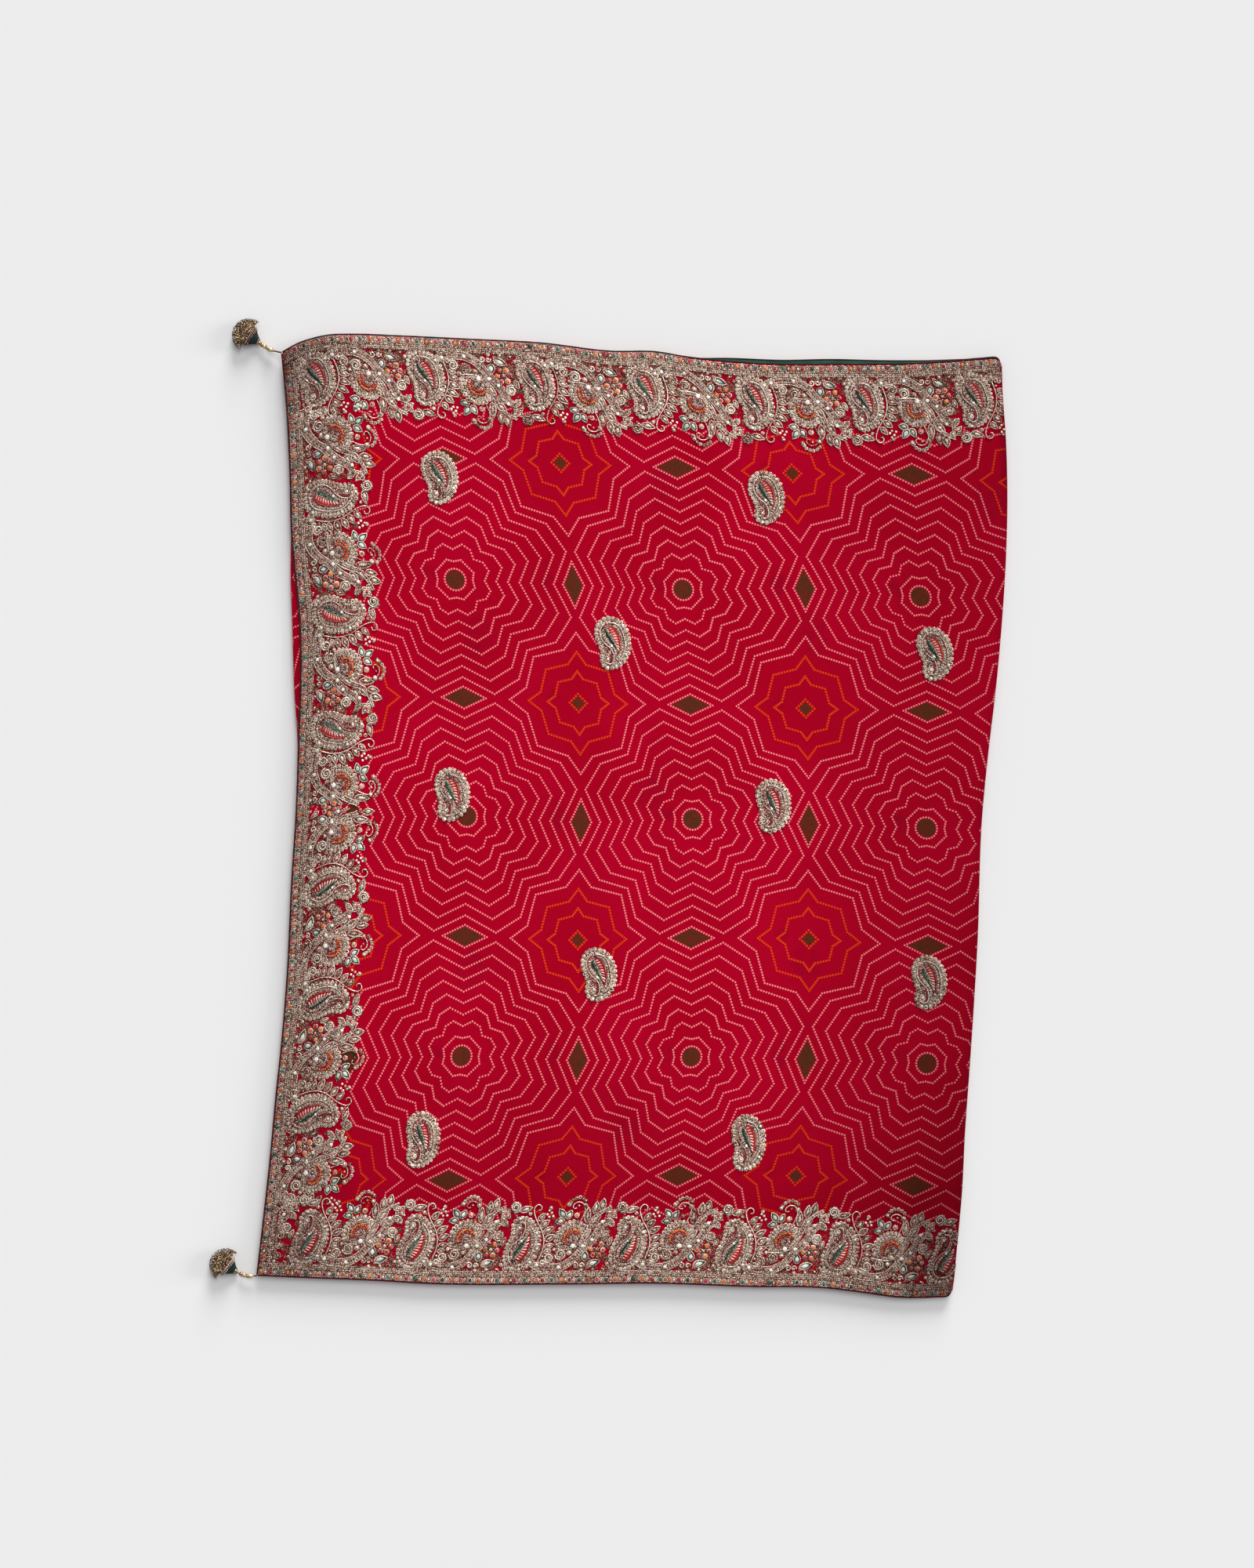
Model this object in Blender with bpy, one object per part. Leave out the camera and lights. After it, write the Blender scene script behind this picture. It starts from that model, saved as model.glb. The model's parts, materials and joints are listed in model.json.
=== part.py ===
"""A bandhani saree, folded back and forth into six stretches and laid flat with its pallu end on top.

The top stretch is a cloth wall that turns down round the fold on the right. The second stretch runs back
below it and turns down round its own fold on the left. The other four stretches are one rounded solid with
layered edges. On the top stretch lie the embroidered borders, the braid with its stones, the bound edges
and ten raised paisleys. A beaded tassel is tied to each corner of the pallu end.

Every length is in millimetres until a mesh is made. X runs along the cloth's length, Y across its width.
"""

import bmesh
import bpy
import numpy as np
from mathutils import Vector
from mathutils.geometry import delaunay_2d_cdt

MM = 0.001

# Cloth walls and the heights of the layers
WALL = 1.5
SEAM_GAP = 0.3
FIELD_HEIGHT = 6.0
BORDER_RISE = 1.5
BORDER_FLAT = 90.0
BORDER_RUN = 120.0
FOLD_DROP = 1.2
FOLD_DROP_RUN = 120.0
LIE_HEIGHT = 0.35
LIE_LENGTH = (430.0, 510.0)
UPPER_FOLD_GAP = 1.4
LOWER_FOLD_GAP = 0.3
UPPER_FOLD_RETURN = 40.0
LOWER_FOLD_RETURN = 10.0
FOLD_STEPS = 6

# Nominal length and width of one stretch, on which the cloth's own coordinates run
STRETCH_LENGTH = 855.0
CLOTH_WIDTH = 1125.0

# Binding, braid and embroidery
PIPING_RADIUS = 1.0
PIPING_SIDES = 6
PIPING_OFFSET = PIPING_RADIUS + SEAM_GAP
STRIP_START = 0.5
STRIP_END = 16.5
STRIP_LIFTS = (1.2, 1.8, 1.2)
BORDER_START = 17.0
BORDER_THICK = 0.8
CORNER_MARKS = (0.0, 12.0, 26.0, 42.0, 62.0, 84.0, 112.0)
CORNER_DEPTH = 84.0
CORNER_SPAN = 112.0
WRAP_STEPS = 4
MARK_ROOM = 5.0
MOTIF_DEPTH = 50.0
MOTIF_SCALE = 0.97
FLOWER_ALONG = 65.5
FLOWER_DEPTH = 62.0
FLOWER_RADIUS = 16.0
FLOWER_SIDES = 8
BACKING_DEPTH = 24.0
BACKING_THICK = 0.8
BACKING_START = 0.56

# How far each border's first paisley lies from its corner, the pitch and the number of paisleys
# border, first, pitch, count
BORDER_REPEATS = {
    "top": (40.0, 131.0, 7),
    "bottom": (57.0, 131.0, 6),
    "end_upper": (176.0, 139.0, 3),
    "end_lower": (193.0, 136.0, 3),
}

# The bound edges and the right fold as the top stretch lies
# pallu end: y, x
END_EDGE = (
    (-568.0, -425.0),
    (-504.0, -417.5),
    (-428.0, -409.0),
    (-352.0, -402.0),
    (-276.0, -394.0),
    (-200.0, -388.0),
    (-86.0, -382.5),
    (-10.0, -377.5),
    (94.0, -374.0),
    (160.0, -372.0),
    (218.0, -373.0),
    (328.0, -383.0),
    (408.0, -385.0),
    (484.0, -389.0),
    (549.0, -395.0),
)
# right fold: y, x
FOLD_EDGE = (
    (-594.0, 418.5),
    (-542.0, 423.0),
    (-466.0, 430.0),
    (-390.0, 434.0),
    (-314.0, 439.5),
    (-162.0, 449.0),
    (-10.0, 454.6),
    (66.0, 462.0),
    (142.0, 471.0),
    (218.0, 478.0),
    (294.0, 483.0),
    (370.0, 485.0),
    (446.0, 483.0),
    (503.0, 479.0),
    (545.0, 478.0),
)
# upper edge: x, y
TOP_EDGE = (
    (-395.0, 549.0),
    (-375.0, 560.5),
    (-356.0, 567.0),
    (-337.0, 571.0),
    (-308.0, 572.0),
    (-251.0, 570.0),
    (-166.0, 566.0),
    (-80.0, 561.5),
    (5.0, 551.5),
    (62.0, 550.5),
    (91.0, 545.5),
    (145.0, 539.6),
    (206.0, 536.0),
    (266.0, 536.0),
    (388.0, 538.0),
    (417.0, 540.0),
    (478.0, 545.0),
)
# lower edge: x, y
BOTTOM_EDGE = (
    (-425.0, -568.0),
    (-356.0, -571.0),
    (-280.0, -574.0),
    (-223.0, -577.5),
    (-52.0, -578.5),
    (62.0, -577.5),
    (176.0, -581.5),
    (262.0, -583.0),
    (319.0, -590.0),
    (347.0, -594.0),
    (418.5, -594.0),
)

# How far the cloth's wall stays inside those outlines, for its binding and for the embroidery on the fold
BINDING_ROOM = 2.3
FOLD_ROOM = 2.6

# How far the second stretch reaches past the top one
# share of the width from the bottom, distance past the pallu end
SECOND_PAST_END = (
    (0.0, -9.0),
    (0.25, -7.0),
    (0.5, -4.0),
    (0.585, 0.5),
    (0.64, 6.5),
    (0.7, 8.0),
    (0.74, 6.5),
    (0.8, 0.0),
    (0.88, -5.0),
    (1.0, -9.0),
)
# share of the length from the pallu end, distance past the upper edge
SECOND_PAST_TOP = (
    (0.0, -5.0),
    (0.3, -4.0),
    (0.5, -2.5),
    (0.57, 0.0),
    (0.62, 4.0),
    (0.7, 5.2),
    (0.76, 6.0),
    (0.83, 4.5),
    (0.9, 3.0),
    (0.955, 2.0),
    (1.0, 0.0),
)
# share of the length from the pallu end, distance past the lower edge
SECOND_PAST_BOTTOM = ((0.0, -4.0), (0.5, -3.0), (0.9, -2.0), (1.0, 0.0))

# The four stretches at the bottom of the pile
PILE_LAYERS = 4
PILE_INSET_END = 3.0
PILE_INSET_TOP = 2.5
PILE_INSET_BOTTOM = 3.0
PILE_INSET_FOLD = 3.5
PILE_BULGE = 1.6
RINGS_PER_LAYER = 3
STEP_ROOM = 3.0
FOOT_INSET = 0.5
# how far each layer of the pile sticks out, from the uppermost down
LAYER_REACH = (0.0, -1.4, 0.6, -0.8)

# One paisley, from its crown round to the right
# x, y
PAISLEY_OUTLINE = (
    (-3.0, 33.0),
    (9.0, 29.5),
    (20.0, 18.0),
    (24.0, 4.0),
    (22.0, -13.0),
    (12.0, -26.0),
    (-3.0, -32.0),
    (-15.0, -26.5),
    (-18.5, -16.0),
    (-12.0, -7.5),
    (-17.0, -3.0),
    (-23.0, 8.0),
    (-23.0, 21.0),
    (-14.0, 31.0),
)
# the leaf set into it: x, y
LEAF_OUTLINE = ((-8.6, 18.0), (1.7, 19.5), (9.0, 8.0), (7.0, -11.5), (-3.1, 5.5))
# the rings of a loose paisley: share of the outline, height above the cloth
PAISLEY_RINGS = ((1.0, 0.9), (0.9, 2.6), (0.66, 2.2))
PAISLEY_LEAF_HEIGHT = 3.0
# the same for a paisley in a border, which rises from the border's skin
BORDER_RINGS = ((1.0, 0.0), (0.87, 1.7))
BORDER_LEAF_HEIGHT = 2.0
# the shell flower between two paisleys: share of its radius, height above the skin
FLOWER_RINGS = ((1.0, 0.0), (0.72, 1.5))
FLOWER_HEART_HEIGHT = 0.9

# The inner edge of a border along one repeat, from one paisley's middle
# along, depth
SCALLOPS = (
    (-26.0, 86.0),
    (-8.5, 99.0),
    (-2.0, 91.0),
    (12.0, 87.0),
    (19.0, 97.0),
    (26.0, 86.0),
    (34.0, 95.0),
    (45.0, 88.0),
    (66.0, 105.0),
    (77.0, 101.0),
    (85.0, 90.0),
    (99.0, 102.0),
)

# Middle of each loose paisley on the field
# x, y
PAISLEY_PLACES = (
    (-204.0, 400.0),
    (193.0, 374.0),
    (8.0, 197.0),
    (399.5, 186.0),
    (-187.5, 13.5),
    (201.0, 2.0),
    (-9.0, -203.5),
    (392.0, -212.0),
    (-225.5, -406.5),
    (169.5, -408.5),
)

# Tassels
TASSEL_AXIS_RISE = 3.4
CONE_LENGTH = 8.8
CONE_TIP_RADIUS = 1.7
MOUTH_HALF_WIDTH = 12.0
MOUTH_HALF_HEIGHT = 8.6
MOUTH_HEIGHT = 9.8
RIM_LENGTH = 2.2
RIM_SWELL = 0.4
HEAD_SIDES = 14
HEAD_LENGTH = 1.5
STRAND_ROWS = 6
STRAND_COLUMNS = 7
STRAND_INSET = 0.35
FAN_HALF_WIDTH = 24.5
FAN_LENGTH = 23.5
FAN_HALF_HEIGHT = 8.6
FAN_ANGLE = 78.0
FAN_RISE_ANGLE = 43.0
HEAD_INSET = 0.8
KNEE_SPREAD = 1.0
STRAND_WIDTH = 1.7
CORD_SIDES = 6
CORD_LAST_GAP = 0.4
CORD_SAG = 1.5
CORD_START_INSIDE = 8.0

# name, mouth x, mouth y, axis angle in degrees, where the cord leaves the corner: x, y
TASSELS = (
    ("top", -432.7, 569.64, 146.0, -393.6, 549.1),
    ("bottom", -460.1, -554.6, 142.5, -423.35, -566.75),
)
# beads on the cord: share of its length, radius
CORD_PROFILE = (
    (0.0, 0.6),
    (0.12, 0.6),
    (0.16, 1.3),
    (0.28, 1.7),
    (0.38, 1.2),
    (0.42, 1.3),
    (0.52, 1.7),
    (0.62, 1.2),
    (0.66, 0.6),
    (0.74, 0.7),
    (0.79, 1.9),
    (0.87, 2.3),
    (0.95, 1.7),
    (1.0, 0.8),
)

# Finishes: red, green, blue, roughness, metallic
FINISHES = {
    "georgette": (0.45, 0.005, 0.02, 0.62, 0.0),
    "backing": (0.004, 0.03, 0.024, 0.8, 0.0),
    "embroidery": (0.42, 0.33, 0.25, 0.4, 0.6),
    "braid": (0.45, 0.3, 0.22, 0.4, 0.5),
    "binding": (0.006, 0.02, 0.016, 0.7, 0.0),
    "gold": (0.6, 0.35, 0.1, 0.3, 0.9),
    "beads": (0.45, 0.28, 0.12, 0.35, 0.7),
}


def smooth(table, at):
    """Read a smooth curve through a table's rows, held level past its ends."""
    knots, values = np.array(table, float).T
    slopes = np.gradient(values, knots)
    at = np.clip(np.asarray(at, float), knots[0], knots[-1])
    left = np.clip(np.searchsorted(knots, at, side="right") - 1, 0, len(knots) - 2)
    span = knots[left + 1] - knots[left]
    part = (at - knots[left]) / span
    return (
        (1 + 2 * part) * (1 - part) ** 2 * values[left]
        + part * (1 - part) ** 2 * span * slopes[left]
        + part**2 * (3 - 2 * part) * values[left + 1]
        - part**2 * (1 - part) * span * slopes[left + 1]
    )


def ease(share):
    """Rise smoothly from 0 to 1."""
    share = np.clip(share, 0.0, 1.0)
    return share * share * (3 - 2 * share)


def pile_top(x, y):
    """Height of the lower pile: thicker under the borders, thinner towards the fold, and a little wavy."""
    from_edge = np.minimum(smooth(TOP_EDGE, x) - y, y - smooth(BOTTOM_EDGE, x))
    rise = BORDER_RISE * (1 - ease((from_edge - BORDER_FLAT) / BORDER_RUN))
    drop = FOLD_DROP * (1 - ease((smooth(FOLD_EDGE, y) - x) / FOLD_DROP_RUN))
    wave = np.sin(2 * np.pi * x / LIE_LENGTH[0]) * np.cos(2 * np.pi * y / LIE_LENGTH[1])
    return FIELD_HEIGHT + rise - drop + LIE_HEIGHT * wave


SECOND_BASE = SEAM_GAP
TOP_BASE = SECOND_BASE + WALL + UPPER_FOLD_GAP
UPPER_INNER = UPPER_FOLD_GAP / 2
LOWER_INNER = LOWER_FOLD_GAP / 2


def level(value):
    """A table that gives one value all along."""
    return ((0.0, value), (1.0, value))


def shifted(table, by):
    """The same table with every value moved."""
    return tuple((place, value + by) for place, value in table)


class Patch:
    """A sheet's outline in plan, as far past the top stretch's outlines as four tables say."""

    def __init__(self, end, fold, top, bottom):
        self.past = {"end": end, "fold": fold, "top": top, "bottom": bottom}
        self.corners = {}
        for s, x_edges in ((0, "end"), (1, "fold")):
            for t, y_edges in ((0, "bottom"), (1, "top")):
                edge = BOTTOM_EDGE if t == 0 else TOP_EDGE
                x, y = edge[0] if s == 0 else edge[-1]
                x += (1 if s else -1) * smooth(self.past[x_edges], t)
                y += (1 if t else -1) * smooth(self.past[y_edges], s)
                self.corners[s, t] = np.array((x, y))

    def side(self, t, s):
        """A point on the pallu end (s 0) or on the fold (s 1)."""
        low, high = self.corners[s, 0][1], self.corners[s, 1][1]
        y = low + (high - low) * t
        name, table, sign = ("fold", FOLD_EDGE, 1) if s else ("end", END_EDGE, -1)
        return np.stack((smooth(table, y) + sign * smooth(self.past[name], t), y), -1)

    def rim(self, s, t):
        """A point on the lower edge (t 0) or on the upper edge (t 1)."""
        low, high = self.corners[0, t][0], self.corners[1, t][0]
        x = low + (high - low) * s
        name, table, sign = ("top", TOP_EDGE, 1) if t else ("bottom", BOTTOM_EDGE, -1)
        return np.stack((x, smooth(table, x) + sign * smooth(self.past[name], s)), -1)

    def at(self, s, t):
        """The point at a share of the length and of the width, between the four edges."""
        s, t = np.broadcast_arrays(np.asarray(s, float), np.asarray(t, float))
        across, along = t[..., None], s[..., None]
        blend = (
            (1 - along) * self.side(t, 0)
            + along * self.side(t, 1)
            + (1 - across) * self.rim(s, 0)
            + across * self.rim(s, 1)
        )
        for (i, j), corner in self.corners.items():
            weight = (along if i else 1 - along) * (across if j else 1 - across)
            blend = blend - weight * corner
        return blend


TOP = Patch(level(-BINDING_ROOM), level(-FOLD_ROOM), level(-BINDING_ROOM), level(-BINDING_ROOM))
SECOND = Patch(
    SECOND_PAST_END,
    level(-FOLD_ROOM),
    shifted(SECOND_PAST_TOP, -BINDING_ROOM),
    shifted(SECOND_PAST_BOTTOM, -BINDING_ROOM),
)
PILE = Patch(
    shifted(SECOND_PAST_END, -PILE_INSET_END),
    level(-PILE_INSET_FOLD),
    shifted(SECOND_PAST_TOP, -BINDING_ROOM - PILE_INSET_TOP),
    shifted(SECOND_PAST_BOTTOM, -BINDING_ROOM - PILE_INSET_BOTTOM),
)


def fold_radius(lift):
    """Distance from the right fold's axis, for a point that far above the top stretch's inner face."""
    return UPPER_INNER + lift


def fold_mark(turn):
    """Where along the cloth the right fold has turned by that many degrees."""
    return STRETCH_LENGTH + np.radians(turn) * (UPPER_INNER + WALL / 2)


def on_cloth(u, v, lift):
    """Place a point of the top stretch: u along it, v across it, lift above its inner face."""
    u, v, lift = np.broadcast_arrays(*(np.asarray(n, float) for n in (u, v, lift)))
    t = v / CLOTH_WIDTH
    flat = TOP.at(np.minimum(u / STRETCH_LENGTH, 1.0), t)
    inner = pile_top(flat[..., 0], flat[..., 1]) + TOP_BASE
    turn = np.maximum(u - STRETCH_LENGTH, 0.0) / (UPPER_INNER + WALL / 2)
    heading = TOP.at(1.0, t) - TOP.at(0.98, t)
    heading = heading / np.linalg.norm(heading, axis=-1, keepdims=True)
    radius = fold_radius(lift)
    plan = flat + heading * (radius * np.sin(turn))[..., None]
    z = np.where(turn > 0, inner - UPPER_INNER + radius * np.cos(turn), inner + lift)
    return np.concatenate((plan, z[..., None]), -1)


def finish(name):
    """One plain material for each finish."""
    made = bpy.data.materials.get(name)
    if made:
        return made
    red, green, blue, roughness, metallic = FINISHES[name]
    made = bpy.data.materials.new(name)
    made.use_nodes = True
    shader = made.node_tree.nodes["Principled BSDF"]
    shader.inputs["Base Color"].default_value = (red, green, blue, 1.0)
    shader.inputs["Roughness"].default_value = roughness
    shader.inputs["Metallic"].default_value = metallic
    made.diffuse_color = (red, green, blue, 1.0)
    return made


def add_solid(name, points, faces, finish_name):
    """Make one closed body from points in millimetres, with its faces turned outwards."""
    mesh = bpy.data.meshes.new(name)
    mesh.from_pydata([tuple(float(n) * MM for n in p) for p in points], [], faces)
    shape = bmesh.new()
    shape.from_mesh(mesh)
    bmesh.ops.recalc_face_normals(shape, faces=shape.faces)
    shape.to_mesh(mesh)
    shape.free()
    mesh.materials.append(finish(finish_name))
    made = bpy.data.objects.new(name, mesh)
    bpy.context.scene.collection.objects.link(made)
    return made


def add_wall(name, upper, lower, finish_name):
    """Close the space between two grids of points that lie face to face."""
    rows, columns = upper.shape[:2]
    count = rows * columns

    def at(side, i, j):
        return side * count + i * columns + j

    faces = []
    for i in range(rows - 1):
        for j in range(columns - 1):
            faces.append((at(0, i, j), at(0, i + 1, j), at(0, i + 1, j + 1), at(0, i, j + 1)))
            faces.append((at(1, i, j), at(1, i, j + 1), at(1, i + 1, j + 1), at(1, i + 1, j)))
    for i in range(rows - 1):
        for j in (0, columns - 1):
            faces.append((at(0, i, j), at(0, i + 1, j), at(1, i + 1, j), at(1, i, j)))
    for j in range(columns - 1):
        for i in (0, rows - 1):
            faces.append((at(0, i, j), at(0, i, j + 1), at(1, i, j + 1), at(1, i, j)))
    points = np.concatenate((upper.reshape(-1, 3), lower.reshape(-1, 3)))
    return add_solid(name, points, faces, finish_name)


def ring_faces(rings, sides):
    """The faces that join rings of points, each to the next."""
    faces = []
    for ring in range(rings - 1):
        low, high = ring * sides, (ring + 1) * sides
        for k in range(sides):
            after = (k + 1) % sides
            faces.append((low + k, low + after, high + after, high + k))
    return faces


def end_caps(rings, sides):
    """The two faces that close the first and the last ring."""
    last = (rings - 1) * sides
    return [tuple(range(sides)), tuple(last + k for k in reversed(range(sides)))]


def add_tube(name, path, radii, sides, finish_name):
    """Sweep a round section along a path, thick as the radii say, and cap both ends."""
    path = np.asarray(path, float)
    heading = np.gradient(path, axis=0)
    heading /= np.linalg.norm(heading, axis=1, keepdims=True)
    beside = np.cross(heading[0], (0.0, 0.0, 1.0))
    if np.linalg.norm(beside) < 1e-6:
        beside = np.array((1.0, 0.0, 0.0))
    points = []
    for here, ahead, radius in zip(path, heading, radii):
        beside = beside - ahead * np.dot(beside, ahead)
        beside = beside / np.linalg.norm(beside)
        above = np.cross(beside, ahead)
        for k in range(sides):
            angle = 2 * np.pi * (k + 0.5) / sides
            points.append(here + radius * (np.cos(angle) * beside + np.sin(angle) * above))
    faces = ring_faces(len(path), sides) + end_caps(len(path), sides)
    return add_solid(name, points, faces, finish_name)


def width_stations():
    """Marks across the cloth, closer where the pile rises towards its borders."""
    near = np.array((0.0, 45.0, 88.0, 118.0, 148.0, 178.0, 208.0))
    far = CLOTH_WIDTH - near[::-1]
    middle = np.linspace(near[-1], far[0], 12)[1:-1]
    return np.concatenate((near, middle, far))


def length_stations():
    """Marks along one stretch, closer round its rounded corner and where it drops towards the fold."""
    start = STRETCH_LENGTH - FOLD_DROP_RUN
    plain = np.linspace(CORNER_MARKS[-1], start, 11)[1:]
    return np.concatenate((CORNER_MARKS, plain, np.linspace(start, STRETCH_LENGTH, 5)[1:]))


def turn_angles(steps):
    """The fold's angles in degrees, step by step from flat."""
    return np.arange(1, steps + 1) * 180.0 / FOLD_STEPS


def top_stretch():
    """The pallu end stretch, which turns round the right fold and runs back a little below."""
    v = width_stations()
    u = np.concatenate((length_stations(), fold_mark(turn_angles(FOLD_STEPS))))
    outer = on_cloth(u[:, None], v, WALL)
    inner = on_cloth(u[:, None], v, 0.0)
    back = 1 - np.array((0.5, 1.0)) * UPPER_FOLD_RETURN / STRETCH_LENGTH
    plan = SECOND.at(back[:, None], v / CLOTH_WIDTH)
    base = pile_top(plan[..., 0], plan[..., 1]) + SECOND_BASE
    lower = np.concatenate((plan, base[..., None]), -1)
    upper = lower + (0.0, 0.0, WALL)
    return add_wall(
        "top_stretch",
        np.concatenate((outer, lower)),
        np.concatenate((inner, upper)),
        "georgette",
    )


def second_marks(last):
    """Shares of the second stretch's length, from the end of the top one's return down to the last."""
    start = 1 - (UPPER_FOLD_RETURN + SEAM_GAP) / STRETCH_LENGTH
    flat = 1 - FOLD_DROP_RUN / STRETCH_LENGTH
    marks = np.concatenate((np.linspace(start, flat, 4), np.linspace(flat, 0.0, 13)[1:]))
    return marks[marks >= last]


def second_stretch():
    """The stretch below, from the end of the top one's return to its own fold on the left."""
    t = width_stations() / CLOTH_WIDTH
    plan = SECOND.at(second_marks(0.0)[:, None], t)
    outer_radius = LOWER_INNER + WALL
    plan[-1, :, 0] += outer_radius
    base = (pile_top(plan[..., 0], plan[..., 1]) + SECOND_BASE)[..., None]
    lower = [np.concatenate((plan, base), -1)]
    upper = [lower[0] + (0.0, 0.0, WALL)]
    axis = lower[0][-1:] - (0.0, 0.0, LOWER_INNER)
    for turn in np.radians(turn_angles(FOLD_STEPS)):
        reach = np.array((-np.sin(turn), 0.0, np.cos(turn)))
        upper.append(axis + reach * outer_radius)
        lower.append(axis + reach * LOWER_INNER)
    inwards = np.array((LOWER_FOLD_RETURN, 0.0, 0.0))
    upper.append(upper[-1] + inwards)
    lower.append(lower[-1] + inwards)
    return add_wall("second_stretch", np.concatenate(upper), np.concatenate(lower), "georgette")


def side_bulge(side, depth):
    """How far the pile's rim stands out, at a share of its height from the top down."""
    layers = depth * PILE_LAYERS
    per_bulge = 1 if side in ("top", "bottom") else 2
    index = min(int(layers) // per_bulge * per_bulge, PILE_LAYERS - 1)
    swell = np.sqrt(max(0.0, 1 - (2 * (layers / per_bulge % 1.0) - 1) ** 2))
    return (PILE_BULGE + LAYER_REACH[index]) * swell


def folded_stretches():
    """The four lower stretches as one rounded solid: layered at the rim, flat below."""
    step_in = (LOWER_FOLD_RETURN + LOWER_INNER + WALL + STEP_ROOM) / STRETCH_LENGTH
    flat = 1 - FOLD_DROP_RUN / STRETCH_LENGTH
    near = (0.0, step_in, step_in + 0.001)
    s = np.concatenate((near, np.linspace(0.1, flat, 8), np.linspace(flat, 1.0, 6)[1:]))
    t = width_stations() / CLOTH_WIDTH
    plan = PILE.at(s[:, None], t)
    top = pile_top(plan[..., 0], plan[..., 1])
    recess = WALL + SEAM_GAP
    top[:2] -= recess
    rows, columns = top.shape
    grid = np.concatenate((plan, top[..., None]), -1)
    points = list(grid.reshape(-1, 3))
    faces = []
    for i in range(rows - 1):
        for j in range(columns - 1):
            corner = i * columns + j
            faces.append((corner, corner + columns, corner + columns + 1, corner + 1))
    rim = [(i, 0, "bottom") for i in range(rows - 1)]
    rim += [(rows - 1, j, "fold") for j in range(columns - 1)]
    rim += [(i, columns - 1, "top") for i in range(rows - 1, 0, -1)]
    rim += [(0, j, "end") for j in range(columns - 1, 0, -1)]
    outward = {"bottom": (0, -1), "fold": (1, 0), "top": (0, 1), "end": (-1, 0)}
    rings = PILE_LAYERS * RINGS_PER_LAYER
    above = [i * columns + j for i, j, _ in rim]
    for ring in range(1, rings + 1):
        depth = ring / rings
        below = []
        for place, (i, j, side) in enumerate(rim):
            before = rim[place - 1][2]
            push = np.zeros(2)
            for name in (side, before)[: 1 if before == side else 2]:
                reach = side_bulge(name, depth) if ring < rings else -FOOT_INSET
                push += np.array(outward[name], float) * reach
            x, y, z = grid[i, j]
            below.append(len(points))
            points.append(np.array((x + push[0], y + push[1], z * (1 - depth))))
        for k in range(len(rim)):
            after = (k + 1) % len(rim)
            faces.append((above[k], above[after], below[after], below[k]))
        above = below
    faces.append(tuple(above))
    return add_solid("folded_stretches", points, faces, "georgette")


def second_backing():
    """The dark strip behind the second stretch's border, which shows along the upper right."""
    over_return = 1 - np.array((SEAM_GAP, UPPER_FOLD_RETURN / 2)) / STRETCH_LENGTH
    s = np.concatenate((over_return, second_marks(BACKING_START)))
    t = 1 - np.array((BACKING_DEPTH, BACKING_DEPTH / 2, 0.0)) / CLOTH_WIDTH
    plan = SECOND.at(s[:, None], t)
    base = pile_top(plan[..., 0], plan[..., 1]) + SECOND_BASE + WALL + SEAM_GAP
    lower = np.concatenate((plan, base[..., None]), -1)
    return add_wall("second_backing", lower + (0.0, 0.0, BACKING_THICK), lower, "backing")


def strip_grid(border, along, depth):
    """Cloth coordinates of marks along a border and of depths in from its edge."""
    along, depth = np.broadcast_arrays(np.asarray(along, float), np.asarray(depth, float))
    if border == "top":
        return along, CLOTH_WIDTH - depth
    if border == "bottom":
        return along, depth
    if border == "end_upper":
        return depth, CLOTH_WIDTH - along
    return depth, along


def along_marks(start):
    """Marks along an upper or lower edge, on past the fold as far as the embroidery shows."""
    inner = length_stations()
    inner = inner[inner > start + MARK_ROOM]
    return np.concatenate(((start,), inner, fold_mark(turn_angles(WRAP_STEPS))))


def gem_strip(border):
    """The braid with its row of stones, a low crowned ribbon along the cloth's edge."""
    depth = np.linspace(STRIP_START, STRIP_END, len(STRIP_LIFTS))
    if border == "end":
        along = np.concatenate(((STRIP_START,), width_stations()[1:-1], (CLOTH_WIDTH - STRIP_START,)))
        u, v = strip_grid("end_lower", along[:, None], depth)
    else:
        along = along_marks(STRIP_END + SEAM_GAP)
        u, v = strip_grid(border, along[:, None], depth)
    lift = WALL + SEAM_GAP
    upper = on_cloth(u, v, lift + np.array(STRIP_LIFTS))
    lower = on_cloth(u, v, lift)
    return add_wall(f"gem_strip_{border}", upper, lower, "braid")


def piping(border):
    """The binding along one edge of the top stretch, a thin cord beside the wall."""
    if border == "end":
        v = width_stations()
        path = on_cloth(-PIPING_OFFSET, v, WALL / 2)
        path[:, :2] = TOP.at(0.0, v / CLOTH_WIDTH) - (PIPING_OFFSET, 0.0)
    else:
        u = np.concatenate((length_stations(), fold_mark(turn_angles(FOLD_STEPS))))
        edge = CLOTH_WIDTH if border == "top" else 0.0
        path = on_cloth(u, edge, WALL / 2)
        path[:, 1] += PIPING_OFFSET if border == "top" else -PIPING_OFFSET
    return add_tube(f"piping_{border}", path, [PIPING_RADIUS] * len(path), PIPING_SIDES, "binding")


def second_piping():
    """The binding of the second stretch, along the part of its upper edge that shows."""
    first = 1 - (SEAM_GAP + PIPING_RADIUS) / STRETCH_LENGTH
    plan = SECOND.at(np.concatenate(((first,), second_marks(BACKING_START))), 1.0)
    z = pile_top(plan[:, 0], plan[:, 1]) + SECOND_BASE + WALL / 2
    path = np.column_stack((plan[:, 0], plan[:, 1] + PIPING_OFFSET, z))
    return add_tube("piping_second", path, [PIPING_RADIUS] * len(path), PIPING_SIDES, "binding")


def ring_points(outline, share, middle=(0.0, 0.0)):
    """An outline drawn in towards its middle."""
    return [(middle[0] + x * share, middle[1] + y * share) for x, y in outline]


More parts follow.
